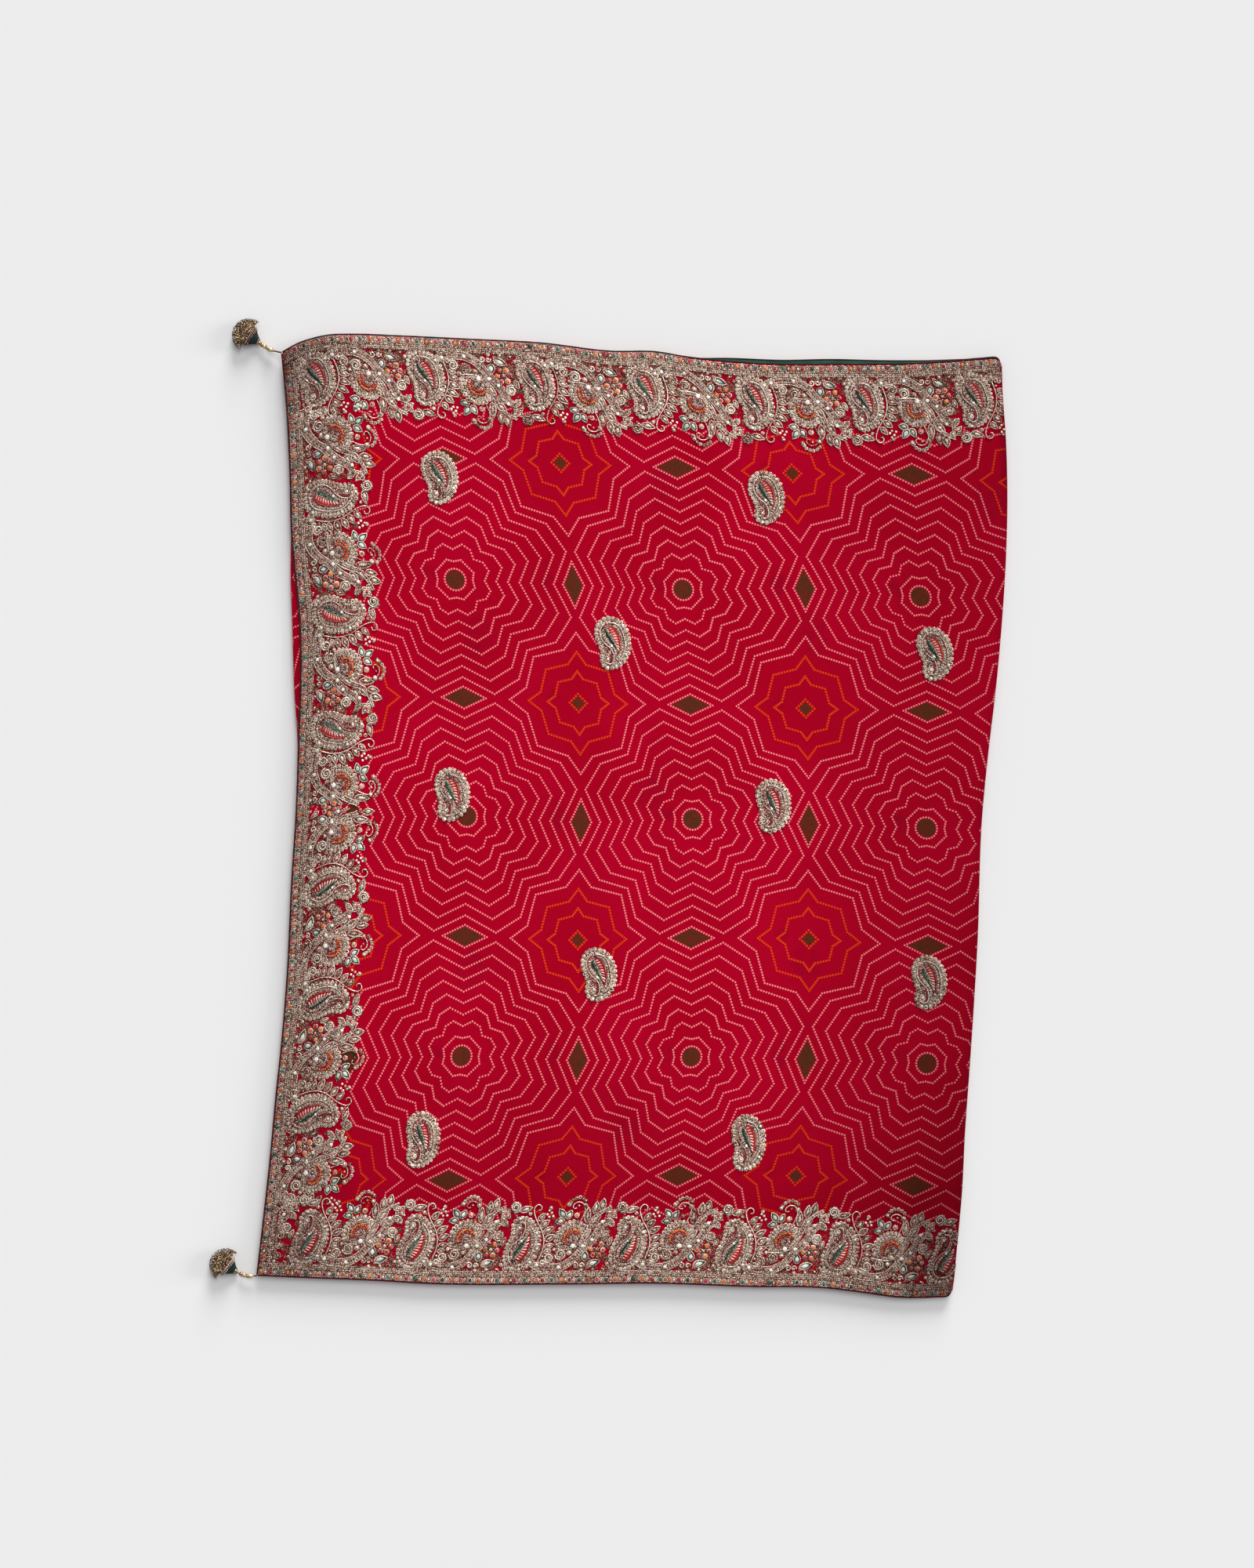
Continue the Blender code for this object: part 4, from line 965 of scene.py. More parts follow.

# %% [markdown]
# The embroiderer works from a drawing of one repeat. Here the drawing is a list of marks, each with the
# look that it takes: cords follow curves, plates of dark gauze lie under the dense parts, and the small
# things are set on top. x runs along the border, y towards the edge of the cloth, and the middle of the
# paisley is at 0, 0. Each mark also has a tone from 0, tarnished, to 1, bright, because no two stitches of
# metal thread catch the light alike. On top of that, painted shade and highlight make most marks darker low
# down and lighter on top.

# %% A drawing to embroider
LOOKS = (
    "thread", "cord", "gauze", "pearl", "sequin", "orange", "red", "teal", "green_silk", "red_silk", "satin",
    "teal_leaf", "pink_bead", "velvet", "copper", "gold", "grey_pearl", "silver", "lace",
)
TONES = {"cord": 0.56, "gauze": 0.3, "pearl": 0.55, "sequin": 0.8, "orange": 0.35, "red": 0.35, "teal": 0.4}
SPREADS = {"cord": 0.23, "gauze": 0.05, "lace": 0.0, "sequin": 0.35, "pearl": 0.3}
print("looks of thread, stone and silk:", len(LOOKS))


class Drawing:
    """Marks of embroidery, kept apart so that a border can leave out those past its ends."""

    def __init__(self):
        self.marks = []
        self.groups = []

    def mark(self, look, points, corners, tone=None, shade=None):
        points = np.asarray(points, float)
        tone = TONES.get(look, 0.5) if tone is None else tone
        # painted shade and highlight: unless told otherwise, a mark is darker low down and lighter on top
        if shade is None:
            high = points[:, 2] - points[:, 2].min()
            shade = (high / max(high.max(), 1e-6) - 0.6) * 0.5
        tones = tone + np.asarray(shade)
        spread = SPREADS.get(look, 0.2)
        self.marks.append((LOOKS.index(look), points, np.asarray(corners, int), tones, spread))

    def together(self, first):
        """Keep the marks from the first on as one, which a border shows whole or not at all."""
        self.groups.append((first, len(self.marks)))

    def put(self, look, shape, x, y, wide, tall=None, turn=0.0, high=None, lift=0.0, tone=None):
        """Set down one small thing, turned by some degrees."""
        points, corners = shape
        tall = wide if tall is None else tall
        high = min(wide, tall) if high is None else high
        cos, sin = math.cos(math.radians(turn)), math.sin(math.radians(turn))
        px, py = points[:, 0] * wide, points[:, 1] * tall
        placed = np.stack((x + px * cos - py * sin, y + px * sin + py * cos, lift + points[:, 2] * high), -1)
        self.mark(look, placed, corners, tone)

    def cord(self, look, path, radius, lift=0.6, sides=4, closed=False, tone=None):
        """A round cord along a line."""
        path = np.asarray(path, float)
        radius = np.broadcast_to(radius, len(path))
        heading = np.roll(path, -1, 0) - np.roll(path, 1, 0) if closed else np.gradient(path, axis=0)
        heading = heading / np.maximum(np.linalg.norm(heading, axis=1, keepdims=True), 1e-9)
        left = np.stack((-heading[:, 1], heading[:, 0]), -1)
        rings = []
        for k in range(sides):
            angle = 2 * math.pi * (k + 0.5) / sides
            across = left * (radius * math.cos(angle))[:, None]
            rings.append(np.column_stack((path + across, lift + radius * math.sin(angle))))
        self.mark(look, np.stack(rings, 1).reshape(-1, 3), rings_joined(len(path), sides, closed), tone)

    def mound(self, look, outline, rings, tone=None, shade=None):
        """A low mound over an outline. Rings: share of the outline, height."""
        outline = np.asarray(outline, float)
        middle = outline.mean(0)
        points, corners, count = [], [], len(outline)
        for share, height in rings:
            points.extend((x, y, height) for x, y in middle + (outline - middle) * share)
        for ring in range(len(rings) - 1):
            corners += strip(ring * count, (ring + 1) * count, count)
        points.append((*middle, rings[-1][1]))
        last = (len(rings) - 1) * count
        corners.extend((last + k, last + (k + 1) % count, len(points) - 1) for k in range(count))
        area = np.sum(outline[:, 0] * np.roll(outline[:, 1], -1) - np.roll(outline[:, 0], -1) * outline[:, 1])
        corners, points = np.array(corners), np.array(points)
        shade = None if shade is None else shade(points)
        self.mark(look, points, corners if area > 0 else corners[:, ::-1], tone, shade)

    def ribbon(self, look, path, half_width, lift, crown):
        """A flat band along a line, a little higher in its middle."""
        half_width = np.broadcast_to(half_width, len(path))
        sides = [beside(path, half_width * n) for n in (-1.0, -0.55, 0.55, 1.0)]
        heights = (lift, lift + crown, lift + crown, lift)
        lines = [np.column_stack((side, np.full(len(path), height))) for side, height in zip(sides, heights)]
        points = np.concatenate(lines)
        count, corners = len(path), []
        for lane in range(3):
            corners += strip(lane * count, (lane + 1) * count, count, closed=False)
        self.mark(look, points, corners)

    def leaf(self, base, tip, width, look="gauze"):
        """A stitched leaf: a rim of cord, a dark gap inside it, and a crowned middle with a bright vein."""
        lift, plain = 0.4, look == "gauze"
        base, tip = np.array(base, float), np.array(tip, float)
        length = float(np.linalg.norm(tip - base))
        ahead = (tip - base) / length
        left = np.array((-ahead[1], ahead[0]))
        profile = ((0.0, 0.0), (0.12, 0.62), (0.34, 1.0), (0.58, 0.92), (0.82, 0.5), (1.0, 0.0))
        one = [base + ahead * length * s - left * width / 2 * w for s, w in profile]
        other = [base + ahead * length * s + left * width / 2 * w for s, w in reversed(profile[1:-1])]
        outline = np.array(one + other)
        middle = outline.mean(0) - ahead * length * (0.0 if plain else 0.07)
        first = len(self.marks)
        self.mound(look, outline, ((1.14 if plain else 1.0, lift),), tone=0.1)
        inner = middle + (outline - middle) * (0.58 if plain else 0.62)

        # painted highlight: the middle of a leaf lighter towards its crown
        def crowned(points):
            return (points[:, 2] - points[:, 2].mean()) * 0.55

        rings = ((1.0, lift + 0.2), (0.45, lift + 1.0))
        self.mound("thread" if plain else "silver", inner, rings, 0.68, crowned)
        self.cord("cord", outline, min(0.72, width * 0.13), lift + 0.3, sides=3, closed=True, tone=0.68)
        vein, turn = middle - ahead * length * 0.05, math.degrees(math.atan2(ahead[1], ahead[0]))
        self.put("pearl", KNOT, *vein, length * 0.17, width * 0.1, turn, high=0.5, lift=lift + 0.8, tone=0.95)
        self.together(first)

    def coil(self, x, y, radius, start, turns=1.6, way=1):
        """A curl of cord that winds in to a knot."""
        count = max(12, round(13 * turns))
        angle = np.radians(start) + way * np.linspace(0.0, turns * 2 * math.pi, count)
        reach = radius * np.linspace(1.0, 0.24, count) ** 0.9
        first = len(self.marks)
        line = np.stack((x + reach * np.cos(angle), y + reach * np.sin(angle)), -1)
        self.cord("cord", line, 0.92, 0.8)
        self.put("thread", KNOT, x, y, 1.4, high=1.4, lift=0.3)
        if radius > 5:
            edge = (line - (x, y)) * 1.22 + (x, y)
            self.knots(edge[: count // 2 + 1], 0.95, 2.1, "thread", 0.3, tone=0.5)
            turn = np.stack((np.cos(angle), np.sin(angle)), -1)[: count // 2 + 1]
            self.mound("gauze", (x, y) + turn[::way] * radius, ((1.0, 0.15),))
        self.together(first)

    def spaced(self, path, pitch, closed=False):
        """Even places along a line, with the way that it runs there in degrees."""
        path = np.asarray(path, float)
        if closed:
            path = np.vstack((path, path[:1]))
        runs = lengths_along(path)
        count = max(1, round(runs[-1] / pitch))
        at = (np.arange(count) + 0.5) * runs[-1] / count
        step = min(0.5, runs[-1] / 4)
        here, before, after = (
            np.stack([np.interp(np.clip(at + d, 0, runs[-1]), runs, path[:, n]) for n in (0, 1)], -1)
            for d in (0.0, -step, step)
        )
        ways = np.degrees(np.arctan2(*(after - before).T[::-1]))
        return [(x, y, way) for (x, y), way in zip(here, ways)]

    def looped(self, path, size, pitch, lift=0.4, closed=False, tone=0.6):
        """A row of wire rings along a line, each round a knot."""
        ring = RINGLET if size > 2.0 else EYELET
        for x, y, way in self.spaced(path, pitch, closed):
            self.put("cord", ring, x, y, size, size, way, high=size * 1.3, lift=lift)
            self.put("thread", KNOT, x, y, size * 0.45, high=size * 0.7, lift=lift - 0.2, tone=tone)

    def knots(self, path, size, pitch, look="thread", lift=0.3, closed=False, stretch=1.0, tone=None):
        """A row of knots along a line."""
        for x, y, way in self.spaced(path, pitch, closed):
            self.put(look, KNOT, x, y, size * stretch, size, way, high=size * 1.1, lift=lift, tone=tone)


# %% [markdown]
# The paisley is the main figure of the saree. It has a scalloped rim of wire loops with a pearl in each,
# two bright cords that follow its sides, a curl in its hook, and a leaf in its middle: green on one side,
# red on the other, and satin stripes between. The same drawing serves the borders and the ten loose
# paisleys.

# %% The paisley
PAISLEY_RIM = (
    (-2.7, 31), (3.9, 29.4), (9.4, 26.6), (14.2, 22), (18, 16.8), (20.2, 10.8), (21.6, 4.3), (22.4, -2.3),
    (22, -8.6), (20.2, -14.9), (17.2, -20.6), (12.6, -25.5), (7.1, -29.2), (1.1, -31.4), (-5.4, -31.2),
    (-10.8, -27.8), (-13.6, -22.2), (-13.2, -16.4), (-12.6, -11.2), (-14.9, -5.6), (-17.9, 0.2), (-20.4, 6),
    (-21.8, 12.4), (-21.4, 18.8), (-18.4, 24.4), (-14, 28.4), (-8.6, 30.6),
)
RIGHT_CORD = (
    (-4.9, 25), (2.2, 24.4), (7.7, 21.7), (12, 16.8), (14.8, 10.2), (17.3, 1.5), (17.6, -5.6),
    (16.2, -12.6), (13.1, -18.1), (8.4, -22.6),
)
LEFT_CORD = (
    (-11.9, 22.8), (-15.5, 17.3), (-16, 10.2), (-13.6, 3.7), (-8.1, -2.3), (-2.1, -6.6), (1.7, -12.1),
    (3.3, -18.6), (2.2, -24), (-1.4, -26.6), (-5.4, -25.4),
)
INNER_RIGHT = (
    (1.5, 21.6), (6.6, 18.6), (10.4, 12.6), (13.2, 4.8), (14.2, -2.8), (13.3, -9.9), (9.9, -16.2),
    (6, -21.4),
)
INNER_LEFT = (
    (-12.2, 16.6), (-11.9, 10.2), (-9.6, 5.3), (-5, 0.4), (0, -4.2), (4.2, -8.6), (5.4, -14), (5.8, -18.4),
)
GREEN_LEFT = ((-9.8, 15.6), (-8.8, 11.4), (-5.6, 6), (-1.8, 0.6), (2.4, -3.6), (6.6, -8))
MIDRIB = ((-7.2, 17.4), (-3.6, 12.4), (-0.2, 7.2), (3, 1.6), (5.8, -4.4), (7.4, -8.6))
RED_SIDE = ((-1.2, 21), (3.6, 17), (7.6, 11), (9.8, 4.4), (11, -2), (10.8, -8), (9.2, -12.6))
SLIT = (
    (-0.2, -11), (1.2, -15), (1.5, -20), (0.4, -23.8), (-2.6, -24.8), (-1, -22.6), (-0.8, -18), (-1.4, -14),
)
HOOK = (-4.8, -20.2)
HOOK_KNOTS = ((-10, -8), (-8, -12), (-8.4, -16), (-9, -21), (-6.6, -26.2))
PAISLEY_SEQUINS = ((-0.5, -3.9), (18.9, -13.9), (14.2, 21.8), (-5.0, -31.0))
STRIPES = 9


def draw_paisley(work, x=0.0, y=0.0, size=(1.0, 1.0), pitch=5.5):
    """Embroider one paisley around a point."""

    def at(points):
        return np.asarray(points, float) * size + (x, y)

    rim = at(PAISLEY_RIM)
    middle = rim.mean(0)
    work.mound("gauze", middle + (rim - middle) * 1.03, ((1.04, 0.1), (0.9, 0.8), (0.66, 1.2), (0.35, 1.3)))
    for px, py, way in work.spaced(rim, pitch, closed=True):
        out = 3.3 + 0.03 * (px - x)
        work.put("cord", RINGLET, px, py, pitch * 0.54, out, way, high=3.6, lift=0.8, tone=0.68)
        work.put("pearl", KNOT, px, py, pitch * 0.27, out * 0.5, way, high=1.7, lift=0.8, tone=0.6)
    work.looped(middle + (rim - middle) * 0.83, 1.9, 3.5, 1.0, closed=True)
    for line in (RIGHT_CORD, LEFT_CORD):
        work.cord("cord", at(curve_through(line, 2.2)), 0.6, 2.0, tone=0.62)
    work.looped(at(curve_through(INNER_RIGHT)), 1.9, 3.2, 1.4)
    work.looped(at(curve_through(INNER_LEFT)), 1.8, 3.2, 1.4)
    green, rib, red = (curve_through(line, 1.0) for line in (GREEN_LEFT, MIDRIB, RED_SIDE))
    work.mound("green_silk", at(np.vstack((green, rib[::-1]))), ((1.0, 1.5), (0.6, 1.9)), tone=0.2)
    between = (green + rib[np.linspace(0, len(rib) - 1, len(green)).astype(int)]) / 2
    work.knots(at(between + (0.5, 0.4)), 1.2, 1.8, "green_silk", 1.6, tone=0.62)
    work.mound("red_silk", at(np.vstack((rib, red[::-1]))), ((1.0, 1.35), (0.6, 1.6)), tone=0.3)
    work.knots(at(rib), 0.8, 1.9, "cord", 1.9, tone=0.7)
    for k in range(STRIPES):
        share = (k + 0.7) / (STRIPES + 0.6)
        a, b = rib[int(share * (len(rib) - 1))], red[int(share * (len(red) - 1))]
        a, b = at(a + (b - a) * 0.04), at(a + (b - a) * 0.88 + (0, -0.9))
        turn = math.degrees(math.atan2(*(b - a)[::-1]))
        reach = np.linalg.norm(b - a) / 2 + 0.3
        work.put("satin", KNOT, *((a + b) / 2), reach, 1.0, turn, high=1.3, lift=1.7, tone=0.35 + 0.06 * k)
    widths = np.interp(np.linspace(0, 1, len(red)), (0, 0.55, 1), (0.4, 0.95, 0.5))
    work.cord("red_silk", at(red), widths, 1.9, tone=0.35)
    work.mound("red_silk", at(SLIT), ((1.0, 1.5), (0.5, 1.5)), tone=0.0)
    hook = at(HOOK)
    work.coil(*hook, 4.0, 100.0, 1.4, 1)
    work.put("sequin", SEQUIN, *hook, 1.4, high=1.0, lift=2.4, tone=0.5)
    work.knots(at(HOOK_KNOTS), 1.2, 2.5, "thread", 1.1)
    for spot in PAISLEY_SEQUINS:
        work.put("sequin", SEQUIN, *at(spot), 1.6, high=1.0, lift=2.7)


print("the paisley is", np.ptp(PAISLEY_RIM, axis=0).round(1), "mm wide and tall, without its loops")

# %% [markdown]
# Between two paisleys the border has a stem filled with chain stitch, a vine with leaves, a shell flower
# with a crescent of orange and pink, a flower of six stones, teal-edged petals, curls and a spray of
# leaves. Their places were measured on the picture, to half a millimetre.

# %% Places of the figures
PITCH = 131.0
VINE = (
    (24, 21.5), (27.5, 11), (28.5, 2), (27.5, -6), (24.5, -14), (19.5, -22), (15.5, -29), (13, -36),
    (13, -41.5), (17, -45.2), (21.4, -43), (21.2, -38.8), (18, -38.4),
)
STEM = (
    (14, 26), (25, 29.5), (37.5, 31), (48, 30.6), (56, 28), (63, 23.8), (69.5, 17.5), (74.5, 10.5),
    (80.5, 5), (86.5, -1), (91.5, -8), (95.5, -15.5), (100.5, -22), (106, -24.5), (110, -22),
    (109.6, -16.5),
)
STEM_WIDTHS = (2.4, 4.4, 4.8, 4.6, 4.6, 4.6, 4.4, 4.2, 3.8, 4.2, 4.6, 4.4, 4.0, 3.6, 3.4, 2.6)
BRANCH = ((70, 5), (75.5, -2), (80, -10), (83.5, -18), (85.5, -25), (92, -33), (100, -38.5), (108, -42.5))
PEARL_HOOK = (
    (70.5, -24), (74, -32), (75.5, -39.5), (73, -46), (67.5, -48.5), (62.5, -47), (60, -43.2), (62, -40.2),
    (65, -41.4),
)
HOOK_LOOPS = ((56, -46), (58.5, -50.5), (63, -53.6), (68.5, -54.4), (73.5, -52.4), (77.4, -48.4))
# base x, y, tip x, y, width
LEAVES = (
    (29.5, 12.5, 38.5, 10, 4.6), (29.5, 6, 41, 2.5, 5.4), (29, -2, 41.5, -8.5, 6.4),
    (26.5, -10.5, 39, -18.5, 6.2), (23, -18.5, 33, -26.5, 6.2), (19.5, -26, 26.5, -35, 5.6),
    (-5, -37, 10.5, -41.5, 6.2), (79, -23, 79.5, -42, 6.6), (84.5, -25, 95.5, -32.5, 7.4),
    (87, -34, 89.5, -49, 6.4), (95, -38, 98, -52.5, 7.2), (87.5, -15, 97, -25, 5.4),
    (74, -1, 85, -16.5, 5.6), (73, -11, 80, -21, 5), (107.5, 4, 112, -6, 4.4), (-13, 34, -20, 28, 4.4),
    (101, -36, 110, -37, 4.6), (31, 20, 36, 27, 3.6), (24, 22, 20, 31, 4.2), (91, 22, 84, 32, 4),
    (97, -8, 107, -9, 4),
)
TEAL_PETALS = (
    (51.5, -26.5, 40, -24, 7.4), (52, -29, 44, -40, 8), (54, -28, 60, -38.5, 7.4),
    (84, 27.5, 100, 22.5, 8.4), (80.5, 22.5, 80.8, 10.5, 8.6),
)
# x, y, radius, where the curl starts in degrees, turns, way
COILS = (
    (35.5, 19, 6, 150, 1.7, -1), (50, 14.6, 6.6, 170, 1.8, -1), (-10.5, -42, 6.4, 100, 1.9, -1),
    (103, -8, 6.4, 60, 1.8, 1), (70.5, 28, 3.9, 200, 1.2, 1), (77.8, 28, 3.4, 20, 1.1, -1),
    (29, 23.5, 3, 60, 1.1, 1),
)
SHELL_OUT = (
    (44.2, 5), (43.4, -3), (45, -10.5), (49.2, -17.2), (55.6, -22.2), (63.6, -24.4), (71.2, -22.8),
    (77, -18),
)
SHELL_BED = (
    (45, 7.4), (52, 9.2), (62, 9.4), (70, 7.6), (75.6, 2), (77.6, -6), (76.6, -14), (73, -20), (66, -22.4),
    (58.6, -21.6), (52, -17.4), (48.4, -11), (47, -4), (45.4, 2),
)
SHELL_EDGE = ((43.0, 8), (52.5, 8.6), (61.5, 8), (69.5, 5.0))
PINK_CRESCENT = ((56.4, 1.4), (55.8, -3.6), (57.6, -8), (61.4, -10.6), (66.2, -10.8), (70.2, -8.6))
ORANGE_CRESCENT = (
    (53.2, 0.4), (52.6, -4.6), (54.4, -9.6), (58.6, -13.4), (64.2, -14.6), (69.6, -13), (73.2, -9.2),
)
SHELL_RIM = ((72.5, 3.0), (75.0, -3.0), (74.6, -9.6), (72.4, -15.2))
SHELL_HEART = (64.5, -4.0)
RINGED_BEAD = (66.3, -32.0)
STONE_FLOWER = (95.0, 9.0)
STONE_REACH = 7.6
SMALL_FLOWER = (-21.5, -34.0)
PEARLS = (
    (61, 12.6, 2.7), (79, 5, 2), (75.5, -43.5, 2.4), (8.5, -34, 1.6), (33, -41, 1.6), (18, 34, 1.5),
    (109.5, 27, 1.6), (113, 22.5, 1.8), (78, 34, 1.7), (55.5, -45.5, 2), (67.5, -44, 1.4), (115, -29, 1.5),
    (92, 33, 1.6), (28.5, 17, 1.5), (42, 9, 1.9), (61, -20.5, 1.4), (-25, 33, 1.5), (104, 32, 1.5),
)
# x, y, radius
SEQUINS = (
    (22.5, 27.5, 2.1), (49.5, 30, 2.1), (77, 4.5, 2.2), (98, -24.5, 2.1), (64.6, 4.4, 2.8), (88, -3, 2),
    (29.5, -33.5, 1.5), (34.8, -35.6, 1.5), (32, -30.6, 1.4), (37, -31.6, 1.4), (31.6, -38.4, 1.3),
)
CORNER_COILS = (
    (22.0, 26.0, 4.6, 200, 1), (21.5, 14.0, 4.2, 20, -1), (22.5, 1.5, 4.8, 200, 1),
    (24.0, -30.0, 4.6, 60, -1),
)
CORNER_LEAVES = ((19.5, -6, 27, -12, 4.6), (19.5, -13, 25.5, -21, 4.8), (29.5, -36, 36.5, -43.0, 5.0))
CORNER_LINE = ((18.4, 30), (18, 10), (18.2, -8), (19, -24), (22, -38))
ROW_OF_PEARLS = ((12, 36.4), (40, 36.6), (70, 35.8), (100, 36.4), (119, 35.6))
print("leaves:", len(LEAVES), "curls:", len(COILS), "pearls:", len(PEARLS), "sequins:", len(SEQUINS))

# %% [markdown]
# Now one repeat is embroidered from these places, in the order in which it would be worked: the filling of
# fine curls, the paisley, the stems between their two cords, the flowers, and then the leaves, curls and
# pearls.

# %% The rest of one repeat
FILLING_START = -45.0
FILLING_INNER = -26.0
FILLING_OUTER = 36.5


def around(middle, reach, angle):
    """The place at a distance and an angle from a middle."""
    return middle[0] + reach * math.cos(angle), middle[1] + reach * math.sin(angle)


def draw_stone_flower(work):
    """Six stones in rings of wire round a pearl."""
    first = len(work.marks)
    work.put("cord", RINGLET, *STONE_FLOWER, 2.4, high=2.6, lift=0.9)
    work.put("pearl", PEARL, *STONE_FLOWER, 1.5, high=1.6, lift=0.7)
    for k in range(6):
        angle = math.radians(66 - 60 * k)
        x, y = around(STONE_FLOWER, STONE_REACH, angle)
        look, size = ("red", 2.7) if k % 2 else ("orange", 3.1)
        work.put("cord", RINGLET, x, y, size + 0.8, high=2.4, lift=0.7, tone=0.5)
        work.put(look, STONE, x, y, size, high=1.6, lift=0.9)
        work.put("pearl", KNOT, *around(STONE_FLOWER, 3.8, angle + 0.5), 0.9, high=1.2, lift=0.6, tone=0.4)
    work.together(first)


def draw_flowers(work):
    """The shell flower, the flower of stones and the small four-petalled one."""
    work.mound("gauze", SHELL_BED, ((1.12, 0.2), (0.7, 1.2), (0.4, 1.3)))
    for x, y, way in work.spaced(curve_through(SHELL_OUT, 2.0), 4.7):
        work.put("cord", RINGLET, x, y, 2.7, 3.6, way, high=3.4, lift=0.7, tone=0.68)
        work.put("pearl", KNOT, x, y, 1.3, 1.8, way, high=1.7, lift=0.7, tone=0.6)
    inner = np.array(SHELL_HEART) + (np.array(SHELL_OUT) - SHELL_HEART) * 0.78
    work.looped(curve_through(inner, 2.0), 2.1, 3.6, 1.0)
    work.cord("cord", curve_through(SHELL_EDGE, 2.4), 0.7, 1.1)
    work.looped(beside(curve_through(SHELL_EDGE, 2.0), -2.6), 1.7, 3.0, 0.9)
    work.looped(curve_through(SHELL_RIM, 2.0), 1.9, 3.4, 1.0)
    work.knots(curve_through(PINK_CRESCENT, 1.0), 1.0, 1.6, "red_silk", 1.5, tone=0.6)
    work.knots(curve_through(ORANGE_CRESCENT, 1.0), 1.7, 2.5, "orange", 1.3, tone=0.45, stretch=0.85)
    work.put("gauze", KNOT, *SHELL_HEART, 1.6, high=2.2, lift=1.0, tone=0.0)
    for k in range(7):
        angle = 2 * math.pi * k / 7
        work.put("cord", EYELET, *around(SHELL_HEART, 4.2, angle), 1.9, high=2.4, lift=1.6)
    work.put("cord", RINGLET, *RINGED_BEAD, 3.6, high=3.0, lift=0.7)
    work.put("pink_bead", PEARL, *RINGED_BEAD, 2.0, high=1.8, lift=0.6, tone=0.3)
    draw_stone_flower(work)
    for k in range(4):
        work.leaf(SMALL_FLOWER, around(SMALL_FLOWER, 7.2, math.radians(45 + 90 * k)), 5.6)
    work.put("red", PEARL, *SMALL_FLOWER, 1.8, high=1.8, lift=1.0)


def draw_band(work, path, widths, lanes):
    """A stem filled with chain stitch, between two cords, in short lengths."""
    widths = np.interp(np.linspace(0, 1, len(path)), np.linspace(0, 1, len(widths)), widths)
    for start in range(0, len(path) - 2, 6):
        run, half_width = path[start : start + 7], widths[start : start + 7]
        work.ribbon("gauze", run, half_width, 0.3, 0.7)
        for side in (-1, 1):
            work.cord("cord", beside(run, half_width * side), 0.65, 0.9, sides=3, tone=0.8)
        for lane, size in lanes:
            work.looped(beside(run, half_width * lane), size, 2.9, 0.9, tone=0.3)


def draw_filling(work, steps=20):
    """A thin filling of small curls between the figures, in short lengths, which thins out inwards."""
    marks = np.linspace(FILLING_START, PITCH + FILLING_START, steps + 1)
    for a, b in zip(marks, marks[1:]):
        rows = []
        for x in (a - 0.3, b + 0.3):
            inner = FILLING_INNER + 5 * math.sin(x * 0.144) + 3 * math.sin(x * 0.384)
            rows.append([(x, y, 0.12) for y in np.linspace(inner, FILLING_OUTER, 7)])
        points = np.array(rows).reshape(-1, 3)
        corners = [(k, 7 + k, 8 + k) for k in range(6)] + [(k, 8 + k, k + 1) for k in range(6)]
        density = np.interp(points[:, 1], (FILLING_INNER, 0.0, 24.0), (0.0, 0.6, 1.0))
        work.mark("lace", points, corners, 0.0, density)


def draw_repeat():
    """Everything from one paisley to the next."""
    work = Drawing()
    draw_filling(work)
    draw_paisley(work, 1.2, 2.4, (0.93, 1.0), 4.9)
    draw_band(work, curve_through(STEM, 1.9), STEM_WIDTHS, ((-0.48, 1.6), (0.48, 1.6)))
    draw_band(work, curve_through(BRANCH, 2.1), (1.6, 2.4, 2.6, 2.4, 2.0, 1.6, 1.4, 1.2), ((0.0, 1.3),))
    draw_flowers(work)
    work.cord("cord", curve_through(VINE, 2.2), 0.75, 0.9, tone=0.68)
    work.cord("cord", curve_through(PEARL_HOOK, 2.2), 0.65, 0.9)
    work.looped(np.array(HOOK_LOOPS, float), 2.4, 4.2, 0.5, tone=0.6)
    work.looped(curve_through(ROW_OF_PEARLS, 4.0), 1.5, 5.4, 0.4)
    for x0, y0, x1, y1, width in LEAVES:
        work.leaf((x0, y0), (x1, y1), width * 1.16)
    for x0, y0, x1, y1, width in TEAL_PETALS:
        work.leaf((x0, y0), (x1, y1), width, look="teal_leaf")
    for x, y, radius, start, turns, way in COILS:
        work.coil(x, y, radius, start, turns, way)
    for x, y, size in PEARLS:
        work.put("pearl", PEARL if size > 1.5 else KNOT, x, y, size, high=size * 1.1, lift=0.2)
        if size > 1.5:
            work.put("cord", RINGLET, x, y, size + 0.9, high=2.0, lift=0.5)
    for x, y, size in SEQUINS:
        work.put("sequin", SEQUIN, x, y, size, high=1.0, lift=2.3, tone=0.85 if size > 1.8 else 0.5)
    return work


def draw_corner():
    """What fills the corner before the first paisley: curls, loops and a few leaves."""
    work = Drawing()
    for x, y, radius, start, way in CORNER_COILS:
        work.coil(x, y, radius, start, 1.6, way)
    for x0, y0, x1, y1, width in CORNER_LEAVES:
        work.leaf((x0, y0), (x1, y1), width)
    work.looped(curve_through(CORNER_LINE, 2.0), 1.7, 3.4, 0.4)
    return work


repeat = draw_repeat()
flower = Drawing()
draw_stone_flower(flower)
corner = draw_corner()
print("one repeat:", len(repeat.marks), "marks,", sum(len(m[2]) for m in repeat.marks), "triangles")

# %% [markdown]
# The finishes of the embroidery. Zari thread is a thin metal foil round a core, pale champagne and a little
# tarnished. Its colour runs from brown, as painted shade in the gaps, to cream, as a painted highlight where
# it would catch the light. The tone of each mark picks the colour, and noise varies it along the thread, in
# part as painted glints. The dense parts are worked on dark gauze, whose net shows between the stitches. The
# stones are cut glass, and the leaves of the paisleys are silk. Most finishes also get painted shade towards
# the fold and the edges.

